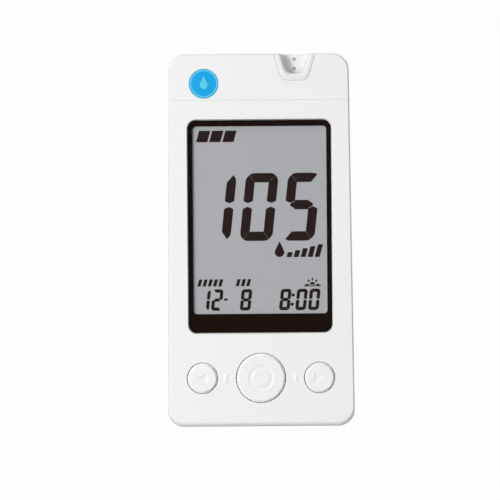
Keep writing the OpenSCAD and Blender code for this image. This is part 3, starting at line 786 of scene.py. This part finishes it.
# %% [markdown]
# The front cover is the largest moulding. Behind its seam stands a thin tongue, as cases often have.
# Without one, light from inside would shine through the seam. The tongue could be a plain strip, but
# it has to follow the rounded edge on both sides. So it is cut from the body's own rings, set just
# under the skin, and joined to the cover.

# %% The front cover
TONGUE_SUNK = 0.02
TONGUE_T = 0.7
TONGUE_FOOT = 0.3
TONGUE_ROOT = 1


def tongue():
    """The arch that stands out of the cover and closes the seam just under the skin."""
    form = Form()
    foot = SPLIT_Z + TONGUE_FOOT
    inside = TONGUE_SUNK + TONGUE_T
    outer = form.tube([(body_outline(-TONGUE_SUNK), foot)] + face_edge(FACE_Z, TONGUE_SUNK))
    inner = form.tube([(body_outline(-inside), foot)] + face_edge(FACE_Z, inside))
    form.band(outer[0], inner[0])
    form.bm.faces.new(outer[-1])
    form.bm.faces.new(inner[-1])
    form.trim(SEAM_Y - TONGUE_ROOT, 1)
    form.trim(SEAM_Y + SEAM_GAP / 2 - OVERLAP, -1)
    return form


form = front_form()
form.trim(SEAM_Y - SEAM_GAP / 2, -1)
case_posts(form, case_screws[:2])
for x, y in board_screws:
    post(form, x, y, BOARD_POST_R, board_top, BOARD_SCREW_R + PILOT_FIT)
front_shell = form.piece("front_shell")
carve(front_shell, tongue(), "UNION")
place(front_shell, "case", case_white, 0.04, ["front_cover"])

# %% [markdown]
# The port cap carries on over the seam. The notch for the strip port's rim piece runs out through its
# end wall. Rings can't leave a wall, so the notch is cut with a Boolean after the cap is trimmed. Its
# outline is wide at the end face and narrows to a round end, and the same function gives the rim
# piece and its trough, so that they fit.

# %% The port cap and its notch
RIM_END_W = 11.0
RIM_IN_W = 8.0
RIM_R = 2.3
RIM_GAP = 0.05

guide_low, guide_high = box_mm("strip_guide")
port_x = (guide_low.x + guide_high.x) / 2
rim_l = guide_high.y - guide_low.y


def port_outline(end_w, in_w, length, r):
    """An outline that starts past the end face and narrows to a round inner end. Its sides
    touch the corners' circles."""
    def outline(grow=0):
        centre = Vector((in_w / 2 - r, r - length))
        corner = Vector((end_w / 2 + grow, 0))
        reach = corner - centre
        lean = math.degrees(math.atan2(reach.y, reach.x) - math.acos((r + grow) / reach.length))
        right = [Vector(p) for p in arc(*centre, r + grow, -90, lean, 8)]
        side = corner - right[-1]
        right.append(corner + side / side.y)
        points = [(-p.x, p.y) for p in reversed(right)] + [tuple(p) for p in right]
        return [(port_x + x, HALF_L + y) for x, y in points]
    return outline


rim_outline = port_outline(RIM_END_W, RIM_IN_W, rim_l, RIM_R)
form = front_form()
form.trim(SEAM_Y + SEAM_GAP / 2, 1)
case_posts(form, case_screws[2:])
cap_shell = form.piece("port_cap_shell")
carve(cap_shell, prism(rim_outline(RIM_GAP), guide_low.z - RIM_GAP, FACE_Z + 1))
place(cap_shell, "case", case_white, 0.04, ["port_cap"])

# %% [markdown]
# ## The strip port
# The rim piece is a small separate moulding with a trough, which guides a strip down to its slot. It
# stands a little above the face, behind a fine groove, and its end follows the body. Its end could be
# rounded by hand. It is cut from the body's own rounded solid, raised to its height, so both always
# agree. The trough is a second solid, which flares at its top, and the slot is cut through both ends.

# %% The rim piece
TROUGH_END_W = 7.8
TROUGH_IN_W = 5.5
TROUGH_L = 5.4
TROUGH_R = 1.9
TROUGH_LEAN = 0.45
SLOT_W = 5.6
SLOT_H = 1.0
RIM_FLOOR = 1.1
RIM_ROUND = 0.55
RIM_GROOVE = (0.25, 0.17)
RIM_SLOPE_W = 0.5
RIM_RISE = 0.06


def body_solid(high=FACE_Z):
    """The body as one solid, up to a height."""
    form = Form()
    form.solid(list(reversed(edge(body_outline, 0, BACK_ROUND, -1, -1, 8))) + face_edge(high))
    return form


slot_z = guide_low.z + RIM_FLOOR
groove_z = guide_high.z - RIM_GROOVE[1]
in_groove = -RIM_GROOVE[0]
form = Form()
form.solid([(rim_outline(), guide_low.z), (rim_outline(), groove_z), (rim_outline(in_groove), groove_z)]
           + slope(rim_outline, guide_high.z - RIM_RISE, guide_high.z, in_groove, in_groove - RIM_SLOPE_W))
guide = form.piece("strip_port_rim")
carve(guide, body_solid(guide_high.z + OVERLAP), "INTERSECT")

trough_top = port_outline(TROUGH_END_W, TROUGH_IN_W, TROUGH_L, TROUGH_R)
trough_foot = port_outline(TROUGH_END_W - 2 * TROUGH_LEAN, TROUGH_IN_W - 2 * TROUGH_LEAN,
                           TROUGH_L - TROUGH_LEAN, TROUGH_R)
trough = Form()
trough.solid([(trough_foot(), slot_z + SLOT_H - OVERLAP)] + edge(trough_top, guide_high.z, RIM_ROUND, 1)
             + [(trough_top(RIM_ROUND), guide_high.z + 1)])
carve(guide, trough)
carve(guide, block((port_x - SLOT_W / 2, guide_low.y - 1, slot_z),
                   (port_x + SLOT_W / 2, HALF_L + 1, slot_z + SLOT_H)))
place(guide, "case", guide_white, 0.05, ["strip_guide"])

# %% [markdown]
# Two small plated pins stand in the slot's floor. A pin is a turned part, so it is built as a lathe
# would cut it: a profile of radii and heights, swept round. A Screw modifier could sweep it too, but
# rings keep the points that later steps need. The domed top catches one small highlight.

# %% Guide pins
PIN_R = 0.42
PIN_ROUND = 0.14
pin_low, pin_high = box_mm("guide_pins")


def turned(form, x, y, profile, steps=48):
    """A turned solid from a list of (radius, z)."""
    form.solid([(circle(x, y, r, steps)(), z) for r, z in profile])


def dome(r, z, round_r, steps=5):
    """The profile of a rounded top edge, from the wall to the flat."""
    turns = [math.radians(90 * i / steps) for i in range(steps + 1)]
    return [(r - round_r * (1 - math.cos(a)), z - round_r * (1 - math.sin(a))) for a in turns]


form = Form()
for y in (pin_low.y + PIN_R, pin_high.y - PIN_R):
    turned(form, port_x, y, [(PIN_R, pin_low.z)] + dome(PIN_R, pin_high.z, PIN_ROUND), 24)
place(form.piece("strip_port_pins"), "case", pin_bronze, 0, ["guide_pins"])

# %% [markdown]
# ## The badge
# The badge is a blue disc let into the port cap. It carries a plain mark, a ring round a drop. The
# mark could be a mask in the finish, but a mask's edge is only as sharp as the maths behind it. A
# film of ink two hundredths of a millimetre thick gives a crisp edge at any distance.

# %% Badge
INK = 0.02
BADGE_EDGE = 0.12
RING_INNER = 0.86
RING_OUTER = 0.965
DROP_H = 3.3
DROP_LOW = 0.35
DROP_BELLY = 0.31
DROP_PINCH = 0.55


def drop(x, y, height, steps=28):
    """The outline of a drop: a round belly, centred on x, y, that runs up to a point."""
    belly = height * DROP_BELLY
    reach = height - 2 * belly
    points = []
    for i in range(steps):
        a = 2 * math.pi * i / steps
        up = max(0.0, math.cos(a)) ** 3
        points.append((x + belly * math.sin(a) * (1 - DROP_PINCH * up), y + belly * math.cos(a) + reach * up))
    points.reverse()
    return points


badge = centre_mm("badge_disc")
ink_z = badge_high.z - INK
form = Form()
turned(form, badge.x, badge.y, [(badge_r, badge_low.z)] + dome(badge_r, ink_z, BADGE_EDGE), 96)
place(form.piece("badge_inlay"), "case", badge_blue, 0, ["badge_disc"])

form = Form()
form.washer(circle(badge.x, badge.y, badge_r * RING_INNER, 96)(),
            circle(badge.x, badge.y, badge_r * RING_OUTER, 96)(), ink_z, badge_high.z)
form.solid([(drop(badge.x, badge.y - DROP_LOW, DROP_H), z) for z in (ink_z, badge_high.z)])
place(form.piece("badge_mark"), "case", badge_light, 0)

# %% [markdown]
# ## The display
# From the top down there are the clear lens, its black printed border, the polariser and two panes
# of glass. The border could be painted on the lens, but a lens shows its border a little below its
# surface, so the print is a thin frame of its own under the lens. Its shadow and that of the tape
# under it are switched off. The layers are so close together that a shadow line would look wrong.

# %% Lens and border
LENS_ROUND = 0.15
BORDER_INSET = 0.12

lens_box = box_mm("display_lens")
lens_outline = slab(0, lens_y, lens_size.x, lens_size.y, LENS_R)
form = Form()
form.solid([(lens_outline(), lens_box[0].z + OVERLAP)] + edge(lens_outline, lens_box[1].z, LENS_ROUND, -1))
place(form.piece("lens_plate"), "case", lens_clear, 0, ["display_lens"])

form = Form()
form.washer(slab(0, window_y, WINDOW[0], WINDOW[1], WINDOW_R)(), lens_outline(-BORDER_INSET),
            lens_low.z, lens_high.z)
border = place(form.piece("printed_border"), "case", border_black, 0, ["lens_border"])
border.visible_shadow = False
frame["nodes"]["lens_tape"].visible_shadow = False

# %% [markdown]
# The digits are the areas that the liquid crystal switches on. A font could draw them, but these
# have their own look: seven strokes that meet in mitres with a hairline between them, round outer
# corners, and a lean. So one function gives the seven shapes from the cell's width, its height and
# the stroke. The side strokes come to a point at the waist, where the middle bar has a nib on each
# side. The shapes are drawn upright and leaned when they are laid on the polariser as thin plates.

# %% Seven segments
LEAN = 0.11
MITRE = 53
CORNER = 0.93
HAIR = 0.022
TIP = 0.23
NIB = 0.58
FILM_GAP = 0.005
LIT = {"0": "abcdef", "1": "bc", "2": "abged", "5": "afgcd", "8": "abcdefg"}


def round_corner(r, start, end, steps):
    """Points on a round corner, as distances in from the side and in from the end."""
    return [(r + x, r - y) for x, y in arc(0, 0, r, 180 - start, 180 - end, steps)]


def segments(w, h, t, waist, point):
    """The outlines of the seven segments of an upright digit. Its corners are round, its middle
    bar lies at the waist, and its side strokes end a point's length from it."""
    r, hair, tip = t * CORNER, t * HAIR, t * TIP + point
    side_corner = round_corner(r, 0, MITRE, 4)
    end_corner = round_corner(r, MITRE, 90, 3)

    def side(tall):
        """A side stroke, from its point near the waist to its round corner."""
        foot = [(0, tip), (t / 2, point), (t, tip), (t, tall - t - hair)]
        return foot + [(x, tall - y - hair) for x, y in reversed(side_corner)]

    def up(points):
        return [(x, waist + y) for x, y in points]

    def down(points):
        return [(x, waist - y) for x, y in points]

    def over(points):
        return [(w - x, y) for x, y in points]

    end = end_corner + over(reversed(end_corner)) + [(w - t, t), (t, t)]
    nib = [(t * 0.5 + hair, 0), (t * NIB, point - hair), (t, tip - 2 * hair), (t, t * 0.5)]
    low_nib = [(t, -t * 0.5), (t, 2 * hair - tip), (t * NIB, hair - point)]
    middle = low_nib + nib + list(reversed(over(low_nib + nib)))
    upper, lower = up(side(h - waist)), down(side(waist))
    return {"a": [(x, h - y) for x, y in end], "b": over(upper), "c": over(lower), "d": end,
            "e": lower, "f": upper, "g": up(middle)}


def plates(form, shapes, x, y, lean=LEAN):
    """Thin plates on the polariser from upright shapes at x, y."""
    low = polariser_high.z + FILM_GAP
    for shape in shapes:
        points = [(x + px + lean * py, y + py) for px, py in shape]
        form.solid([(points, low), (points, low + INK)])


def digit(form, figure, x, y, **sizes):
    shapes = segments(**sizes)
    plates(form, [shapes[name] for name in LIT[figure]], x, y)


def bar_shape(w, h):
    """A plain upright rectangle that stands on its lower left corner."""
    return [(0, 0), (w, 0), (w, h), (0, h)]


# %% [markdown]
# The display reads 105, with the date and the time below it. Two sizes of digit are enough, and each
# is one set of numbers. The large one has its waist a little above its middle, and all strokes keep
# the same share of its height.

# %% The reading, the date and the time
READING = {"y": -0.2, "w": 8.55, "h": 17.8, "t": 2.45, "waist": 9.45, "point": 0.46}
READING_X = (-16.4, -5.41, 5.65)
SMALL = {"y": -18.42, "w": 2.8, "h": 5.6, "t": 0.86, "waist": 2.8, "point": 0.07}
SMALL_X = (-16.35, -13.05, -5.5, 4.8, 9.05, 12.4)
COLON = ((7.87, -17.24), (8.12, -14.84))
DASH = (-9.62, -15.77)

form = Form()
for figure, x in zip("105", READING_X):
    digit(form, figure, x, **READING)
for figure, x in zip("128800", SMALL_X):
    digit(form, figure, x, **SMALL)
for x, y in COLON:
    plates(form, [bar_shape(0.8, 0.75)], x, y)
plates(form, [bar_shape(1.0, 0.5)], *DASH)
print("display plates so far:", len(form.bm.faces), "faces")

# %% [markdown]
# Round the digits a meter shows small marks. These are plain generic ones: slanted blocks, a drop
# with a rising scale, and a sunrise for the morning. They are plates like the digits and are joined
# into the same piece, because a real display prints them in the same layer.

# %% Small marks
BLOCK_LEAN = 0.28
SUN_R = 0.5
HORIZON = (1.6, -0.45, -0.2)
RAY = (0.72, 1.3, 0.13)


def blocks(form, x, y, count, w, h, gap, rise=0.0):
    """A row of slanted blocks, each a little taller than the last by rise."""
    for i in range(count):
        tall = h - rise * (count - 1 - i)
        plates(form, [bar_shape(w, tall)], x + i * (w + gap), y, BLOCK_LEAN)


def sunrise(form, x, y, r):
    """Half a sun over a line, with five rays."""
    half, low, high = HORIZON[0] * r, HORIZON[1], HORIZON[2]
    plates(form, [[(-half, low), (half, low), (half, high), (-half, high)],
                  arc(0, 0, r * SUN_R, 0, 180, 10)], x, y, 0)
    start, end, side = [v * r for v in RAY]
    for angle in range(0, 181, 45):
        a = math.radians(angle)
        out, across = Vector((math.cos(a), math.sin(a))), Vector((-math.sin(a), math.cos(a))) * side
        ray = [out * start - across, out * end - across, out * end + across, out * start + across]
        plates(form, [[tuple(p) for p in ray]], x, y, 0)


blocks(form, -16.6, 25.8, 3, 2.95, 3.0, 0.5)
blocks(form, 6.9, -4.5, 5, 1.3, 3.3, 0.55, 0.5)
plates(form, [drop(0, 0, 4.0)], 5.1, -3.2, 0)
for x, count in ((-16.55, 5), (-6.5, 3)):
    blocks(form, x, -12.05, count, 0.85, 1.85, 0.52)
sunrise(form, 13.65, -11.75, 1.4)
place(form.piece("display_digits"), "case", segment_dark, 0)

# %% [markdown]
# ## The keys
# A key has a flange under the face, which keeps it in, a skirt that fills its hole, a cap with a
# rounded shoulder and a stem that meets its switch. All of it is round, so it could be turned in one
# go, and it is: the profile runs from the stem's foot up to the edge of the flat top.

# %% Key profile
KEY_ROUND = 0.28
KEY_FLANGE_T = 0.8
KEY_SEAT = 0.05
KEY_STEM_R = 1.6
KEY_GAP = 0.14
GROOVE = (0.5, 0.5)


def key_levels(node):
    """The outside of a key, from its stem's foot to the edge of its flat top."""
    low, high = box_mm(node)
    hole_r = key_hole_r(node)
    flange_top = UNDER_Z - KEY_SEAT
    flange_z = flange_top - KEY_FLANGE_T
    skirt_r = hole_r - KEY_GAP
    skirt_top = FACE_Z - GROOVE[1]
    cap_r = hole_r - GROOVE[0]
    skirt = [(KEY_STEM_R, low.z), (KEY_STEM_R, flange_z), (hole_r + KEY_FLANGE, flange_z),
             (hole_r + KEY_FLANGE, flange_top), (skirt_r, flange_top), (skirt_r, skirt_top),
             (cap_r, skirt_top)]
    return skirt + dome(cap_r, high.z, KEY_ROUND, 7)


print("levels of the centre key:", len(key_levels("button_main")))

# %% [markdown]
# The centre key has a ring engraved in its top. It could be cut with a Boolean torus, but a ring is
# round like the key, so it is simply more of the same profile. Its walls are soft slopes, because a
# shallow engraving with sharp walls would look drawn on.

# %% The centre key
RING_R = 2.75
RING_W = 0.95
RING_T = 0.14
SLOPE_W = 0.42


def engraved_ring(r, z, width, depth):
    """The profile across an engraved ring, from outside in, with soft walls."""
    def radius(grow):
        return r + grow
    outer = slope(radius, z, z - depth, (width + SLOPE_W) / 2, (width - SLOPE_W) / 2)
    inner = slope(radius, z - depth, z, (SLOPE_W - width) / 2, -(width + SLOPE_W) / 2)
    return outer + inner


main = key_centres["button_main"]
main_top = box_mm("button_main")[1].z
form = Form()
turned(form, main.x, main.y, key_levels("button_main") + engraved_ring(RING_R, main_top, RING_W, RING_T), 96)
place(form.piece("main_key_cap"), "main_key", key_white, 0.05, ["button_main"])

# %% [markdown]
# The side keys step through the memory, so each has an engraved arrow that points outwards. An arrow
# isn't round, so it can't be turned. The key's flat top is a plate with a hole in it, and the hole is
# a tube of rings that slope down to the arrow's floor.

# %% The side keys
ARROW_T = 0.24
ARROW = (2.5, 2.4)


def triangle(x, y, l, w, way):
    """An outline function for an arrowhead that points along way times X."""
    def outline(grow=0):
        leg = math.hypot(l, w / 2)
        inner_r = l * w / (w + 2 * leg)
        middle = x + way * (inner_r - l / 2)
        size = (inner_r + grow) / inner_r
        corners = [(x + way * l / 2, y), (x - way * l / 2, y + w / 2), (x - way * l / 2, y - w / 2)]
        return [(middle + (cx - middle) * size, y + (cy - y) * size) for cx, cy in corners]
    return outline


for side, node, way in (("left", "button_left", -1), ("right", "button_right", 1)):
    centre, top = key_centres[node], box_mm(node)[1].z
    form = Form()
    rings = form.tube([(circle(centre.x, centre.y, r)(), z) for r, z in key_levels(node)])
    form.bm.faces.new(rings[0])
    arrow = triangle(centre.x, centre.y, *ARROW, way)
    cut = form.tube(slope(arrow, top, top - ARROW_T, SLOPE_W / 2, -SLOPE_W / 2))
    form.bm.faces.new(cut[-1])
    form.plate(rings[-1], cut[0])
    place(form.piece(f"{side}_key_cap"), f"{side}_key", key_white, 0.04, [node])

# %% [markdown]
# ## The back
# The rear moulding is a tray with a flat back, a rounded edge and a lip that slides into the front.
# A tray is one stack of rings from the back's rounded edge up the outside, over the lip and down the
# inside. Everything that stands in it is joined on and cut afterwards.

# %% Rear tray
FLOOR = 1.4
LIP_H = 1.1
LIP_IN = 0.95

lip_z = SPLIT_Z + LIP_H
rear_top = SPLIT_Z - SEAM / 2
form = Form()
form.solid(list(reversed(edge(body_outline, 0, BACK_ROUND, -1, -1, 8)))
           + edge(body_outline, rear_top, LIP_ROUND, -1)
           + [(body_outline(-LIP_IN), rear_top), (body_outline(-LIP_IN), lip_z),
              (body_outline(-WALL), lip_z), (body_outline(-WALL), FLOOR)])
rear = form.piece("rear_shell")
print("rear tray:", len(rear.data.vertices), "vertices")

# %% [markdown]
# Two AAA cells lie side by side in a bay with thin walls and a roof. The door runs in a channel
# between two rails, and four wells take the case screws. Each could be a piece of its own, but in
# the mould they are one with the tray. Booleans in the mould's own order give that: first join what
# stands, then cut what is hollow.

# %% Battery bay, rails and screw wells
DOOR_FIT = 0.15
RAIL_H = 1.2
RAIL_LEG = 1.25
BAY_WALL = 0.9
BAY_ROOF = 0.7
CHANNEL_Z = 2.2
WELL_R = 2.1
WELL_DEPTH = case_screw[0].z + SCREW_HEAD_H
BOSS_R = 3.1
SHANK_FIT = 0.2

door_high = box_mm("battery_door")[1]
cell_high = box_mm("battery_right")[1]
bay_low_y = box_mm("series_plate")[0].y
bay_high_y = box_mm("terminal_plates")[1].y
bay_half = cell_high.x + 2 * FIT
ceiling_z = cell_high.z + 2 * FIT
channel_half = door_high.x + DOOR_FIT
door_end_y = door_high.y + DOOR_FIT
outer_half = bay_half + BAY_WALL
outer_low_y = bay_low_y - BAY_WALL

carve(rear, block((-outer_half, outer_low_y, CHANNEL_Z),
                  (outer_half, bay_high_y + BAY_WALL, ceiling_z + BAY_ROOF)), "UNION")
carve(rear, block((-channel_half - RAIL_LEG, outer_low_y, FLOOR - OVERLAP),
                  (channel_half + RAIL_LEG, door_end_y + RAIL_LEG, CHANNEL_Z + RAIL_H)), "UNION")
carve(rear, block((-bay_half, bay_low_y, -1), (bay_half, bay_high_y, ceiling_z)))
carve(rear, block((-channel_half, outer_low_y - OVERLAP, FLOOR), (channel_half, door_end_y, CHANNEL_Z)))
for x, y in case_screws:
    carve(rear, prism(circle(x, y, BOSS_R, 48)(), FLOOR - OVERLAP, rear_top - OVERLAP), "UNION")
    carve(rear, prism(circle(x, y, WELL_R, 48)(), -1, WELL_DEPTH))
    carve(rear, prism(circle(x, y, SCREW_R + SHANK_FIT, 48)(), 1, SPLIT_Z + 5))
print("with its bay, rails and wells:", len(rear.data.vertices), "vertices")

# %% [markdown]
# The door slides out of the tray at the key end. The opening in the back is as wide as the door's
# plate, and the slot in the end wall is as wide as its flanges. They could be left out of the tray's
# rings, but two cuts that run far past the end are simpler, and leave the rails' edges standing.

# %% Opening for the door
DOOR_FLANGE = 1.2
plate_half = door_high.x - DOOR_FLANGE + DOOR_FIT
end_wall_y = WALL - HALF_L
carve(rear, block((-plate_half, -FAR, -1), (plate_half, door_end_y, FLOOR + OVERLAP)))
carve(rear, block((-channel_half, -FAR, FLOOR), (channel_half, end_wall_y + OVERLAP, CHANNEL_Z)))
place(rear, "case", case_white, 0.09, ["rear_cover"])

# %% [markdown]
# The door is a flat plate with a thinner flange along both sides, which runs in the rails. Its outer
# face carries on the body's rounded edge, so it is cut from the body's own shape. Grip grooves and
# an arrow show where the thumb goes and which way the door slides. A bump could fake the grooves,
# but they have to catch the light from low down, so they are cut.

# %% Battery door
DOOR_FLANGE_T = 0.6
GRIPS = {"count": 4, "pitch": 1.8, "length": 12, "width": 0.8, "depth": 0.3, "y": -40}
GRIP_CORNER = 0.02
MARK = (3.4, 5.0)

door_half = door_high.x - DOOR_FLANGE
door = block((-door_half, -FAR, 0), (door_half, door_high.y, door_high.z)).piece("battery_door_plate")
carve(door, block((-door_high.x, -FAR, door_high.z - DOOR_FLANGE_T),
                  (door_high.x, door_high.y, door_high.z)), "UNION")
carve(door, body_solid(), "INTERSECT")
grip_r = GRIPS["width"] / 2 - GRIP_CORNER
for i in range(GRIPS["count"]):
    grip = slab(0, GRIPS["y"] + i * GRIPS["pitch"], GRIPS["length"], GRIPS["width"], grip_r, 6)
    carve(door, prism(grip(), -1, GRIPS["depth"]))
mark_y = GRIPS["y"] + GRIPS["count"] * GRIPS["pitch"]
mark = [(0, mark_y), (MARK[1] / 2, mark_y + MARK[0]), (-MARK[1] / 2, mark_y + MARK[0])]
carve(door, prism(mark, -1, GRIPS["depth"]))
place(door, "door", case_white, 0.09, ["battery_door"])

# %% [markdown]
# ## Screws and cells
# A screw is a turned head on a shank, with a cross recess cut into the head. A real thread is a
# helix, but it stands in its post where nobody sees it, so plain rings do. All four screws of a
# kind are one piece, as they are one node in the CAD.

# %% Screws
THREAD_CORE = 0.8
THREAD_PITCH = 0.45
CROSS_W = 0.24
CROSS_R = 0.62
CROSS_DEPTH = 0.6


def screw(form, x, y, low, head_r, shank_r, head_h, high):
    """A pan-head screw that stands on its head, with a thread of plain rings on its shank."""
    core = shank_r * THREAD_CORE
    pitch = shank_r * THREAD_PITCH
    head_top = low + head_h
    head = [(head_r * 0.6, low), (head_r * 0.9, low + head_h * 0.2), (head_r, low + head_h * 0.5),
            (head_r, head_top), (core, head_top)]
    thread = []
    for i in range(int((high - head_top - 1) / pitch)):
        z = head_top + 0.5 + i * pitch
        thread += [(core, z), (shank_r, z + pitch * 0.4)]
    tip = [(core, high - 0.4), (shank_r * 0.3, high)]
    turned(form, x, y, head + thread + tip, 32)


def cross(x, y, low, r):
    """A cross-shaped cutter for a screw's recess."""
    w = r * CROSS_W
    points = [(w, w), (w, r), (-w, r), (-w, w), (-r, w), (-r, -w),
              (-w, -w), (-w, -r), (w, -r), (w, -w), (r, -w), (r, w)]
    return prism([(x + px, y + py) for px, py in points], low - 1, low + CROSS_DEPTH)


def screw_set(name, node, places, head_r, shank_r, head_h):
    """Screws of one kind as one piece."""
    low, high = box_mm(node)
    form = Form()
    for x, y in places:
        screw(form, x, y, low.z, head_r, shank_r, head_h, high.z)
    made = form.piece(name)
    for x, y in places:
        carve(made, cross(x, y, low.z, head_r * CROSS_R))
    place(made, "case", screw_steel, 0.03, [node])


screw_set("case_screw_set", "case_screws", case_screws, SCREW_HEAD_R, SCREW_R, SCREW_HEAD_H)
screw_set("board_screw_set", "board_screws", board_screws, BOARD_HEAD_R, BOARD_SCREW_R, BOARD_HEAD_H)

# %% [markdown]
# The cells show when the door is open. A cell is a can with a rolled rim at its flat end, a shoulder
# and a nub. It is turned upright like the keys and then laid down along the body, nub up the body
# for the left one and down it for the right one, because cells in a bay lie head to tail.

# %% Cells
NUB_R = 1.9
NUB_L = 0.9
NUB_EDGE = 0.25
CELL_ROUND = 0.6


def cell(name, node, nub_side):
    """A cell that fills its node's box. nub_side is 1 where its nub points along Y."""
    low, high = box_mm(node)
    centre = centre_mm(node)
    r = (high.x - low.x) / 2
    length = high.y - low.y
    can = length - NUB_L
    rim = [(r - 1.6, 0.18), (r - 1.3, 0), (r - 0.5, 0), (r, 0.5)]
    shoulder = dome(r, can, CELL_ROUND) + [(NUB_R + 0.5, can)]
    nub = [(NUB_R, can + 0.05), (NUB_R, length - NUB_EDGE), (NUB_R - NUB_EDGE, length)]
    form = Form()
    turned(form, 0, 0, rim + shoulder + nub, 64)
    turn = Matrix.Rotation(math.radians(-90 * nub_side), 4, "X")
    foot = low.y if nub_side > 0 else high.y
    form.bm.transform(Matrix.Translation((centre.x, foot, centre.z)) @ turn)
    film = sleeve(name + "_sleeve", low.y * MM, high.y * MM, nub_side)
    place(form.piece(name), "case", film, 0, [node])


cell("cell_left", "battery_left", 1)
cell("cell_right", "battery_right", -1)

# %% [markdown]
# ## The pieces inside
# The board, its parts, the display's layers and the contacts have the right shape in the CAD, and
# most are hidden. Building them again would add nothing, so they keep their CAD meshes, and each
# gets its finish and a hairline edge radius. The imported meshes have doubled vertices along their
# edges, so a Weld modifier joins them first.

# %% Finishes of the inner pieces
INNER = {
    "lens_tape": tape_grey, "lcd_front_polariser": film_clear, "lcd_front_glass": pane_glass,
    "lcd_rear_glass": pane_glass, "lcd_reflector": reflector_grey, "lcd_holder": holder_white,
    "lcd_connector": elastomer, "main_board": board_green, "controller_chip": chip_black,
    "clock_crystal": can_metal, "board_parts": part_tan, "buzzer": chip_black,
    "strip_connector": connector_dark, "strip_contacts": contact_gold,
    "key_switches": connector_dark, "plunger_left": plunger_black, "plunger_main": plunger_black,
    "plunger_right": plunger_black, "battery_springs": contact_nickel,
    "series_plate": contact_nickel, "terminal_plates": contact_nickel,
}
KEEP_EDGES = ("lcd_front_polariser", "lcd_front_glass", "lcd_rear_glass", "battery_springs")
INNER_EDGE = 0.03
WELD = 1e-6

for name, material in INNER.items():
    node = frame["nodes"][name]
    node.data.materials.clear()
    node.data.materials.append(material)
    node.modifiers.new("weld", "WELD").merge_threshold = WELD
    smooth(node, 0 if name in KEEP_EDGES else INNER_EDGE * MM)
print("inner pieces with a finish:", len(INNER))

# %% [markdown]
# ## The stage
# The meter lies on a white floor that has no edge against the background. A bright lamp could make
# a white floor white, but it would also wash out the meter. So almost all of the floor's brightness
# is its own, seen by the camera and in reflections only. What little is left takes the lamps and a
# soft, faint shadow. Its own colour is grey, so that it throws little light back up at the walls.
# The world is white to the camera and in reflections, and fills the shadows with a weaker light.

# %% Floor and world
WORLD_FILL = 0.44
FLOOR_SHARE = 0.985
FLOOR_W = 4000
FLOOR_Z = (-4, -0.02)
WHITE = (1, 1, 1, 1)


def make_floor():
    form = Form()
    form.solid([(slab(0, 0, FLOOR_W, FLOOR_W, 10)(), z) for z in FLOOR_Z])
    floor = form.piece("floor")
    floor.data.transform(Matrix.Scale(MM, 4))
    finish = Finish("white_floor")
    matt = finish.node("BsdfDiffuse", {}, {"Color": colour(120, 120, 120)})
    glow = finish.node("Emission", {}, {"Color": WHITE, "Strength": 1.0})
    seen = [finish.node("LightPath", output=f"Is {kind} Ray") for kind in ("Camera", "Glossy")]
    mixed = finish.node("MixShader", {}, {0: (seen[0] + seen[1]) * FLOOR_SHARE, 1: matt, 2: glow})
    finish.node("OutputMaterial", {}, {"Surface": mixed})
    floor.data.materials.append(finish.material)


def make_world():
    world = bpy.data.worlds.new("studio")
    world.use_nodes = True
    bpy.context.scene.world = world
    finish = Finish("world_nodes")
    finish.tree = world.node_tree
    finish.tree.nodes.clear()
    kinds = ("Camera", "Glossy", "Transmission")
    seen = [finish.node("LightPath", output=f"Is {kind} Ray") for kind in kinds]
    fill = finish.node("Background", {}, {"Color": WHITE, "Strength": WORLD_FILL})
    white = finish.node("Background", {}, {"Color": WHITE, "Strength": 1.0})
    mixed = finish.node("MixShader", {}, {0: seen[0] + seen[1] + seen[2], 1: fill, 2: white})
    finish.node("OutputWorld", {}, {"Surface": mixed})


make_floor()
make_world()
print("floor share of its own light:", FLOOR_SHARE)

# %% [markdown]
# The main light is a large panel three metres away to the upper left, like a window. It makes the
# left and top edges bright and lets the right and bottom ones fall away. A small panel close to the
# left side makes the face a little brighter on that side, and a low one beyond the strip port lights
# that end wall. One lamp would do for the shadows, but the soft change of tone over the face needs
# the side panel. The camera looks straight down through a long lens, so there is hardly any
# perspective.

# %% Lights and camera
def lamp(name, place_mm, size_mm, watts):
    """A round panel that faces the meter."""
    data = bpy.data.lights.new(name, "AREA")
    data.shape = "DISK"
    data.size = size_mm * MM
    data.energy = watts
    made = bpy.data.objects.new(name, data)
    made.location = Vector(place_mm) * MM
    made.rotation_mode = "QUATERNION"
    made.rotation_quaternion = (-made.location).to_track_quat("-Z", "Y")
    made.visible_camera = False
    bpy.context.scene.collection.objects.link(made)


CAMERA_LENS = 150
CAMERA_SENSOR = 36
CAMERA_RISE = 543.9
CAMERA_AIM = (-2.65, -2.56)
CAMERA_TURN = -0.45

lamp("window_panel", (-1750, 750, 2350), 800, 34.0)
lamp("side_panel", (-220, 0, 380), 120, 0.5)
lamp("end_panel", (-60, 700, 70), 100, 0.45)
data = bpy.data.cameras.new("camera")
data.lens = CAMERA_LENS
data.sensor_width = CAMERA_SENSOR
data.clip_start = 0.01
camera = bpy.data.objects.new("camera", data)
camera.location = Vector((*CAMERA_AIM, FACE_Z + CAMERA_RISE)) * MM
camera.rotation_euler = (0, 0, math.radians(CAMERA_TURN))
bpy.context.scene.collection.objects.link(camera)
bpy.context.scene.camera = camera
bpy.context.scene.view_settings.view_transform = "Standard"
print("camera height in m:", round(camera.location.z, 4))
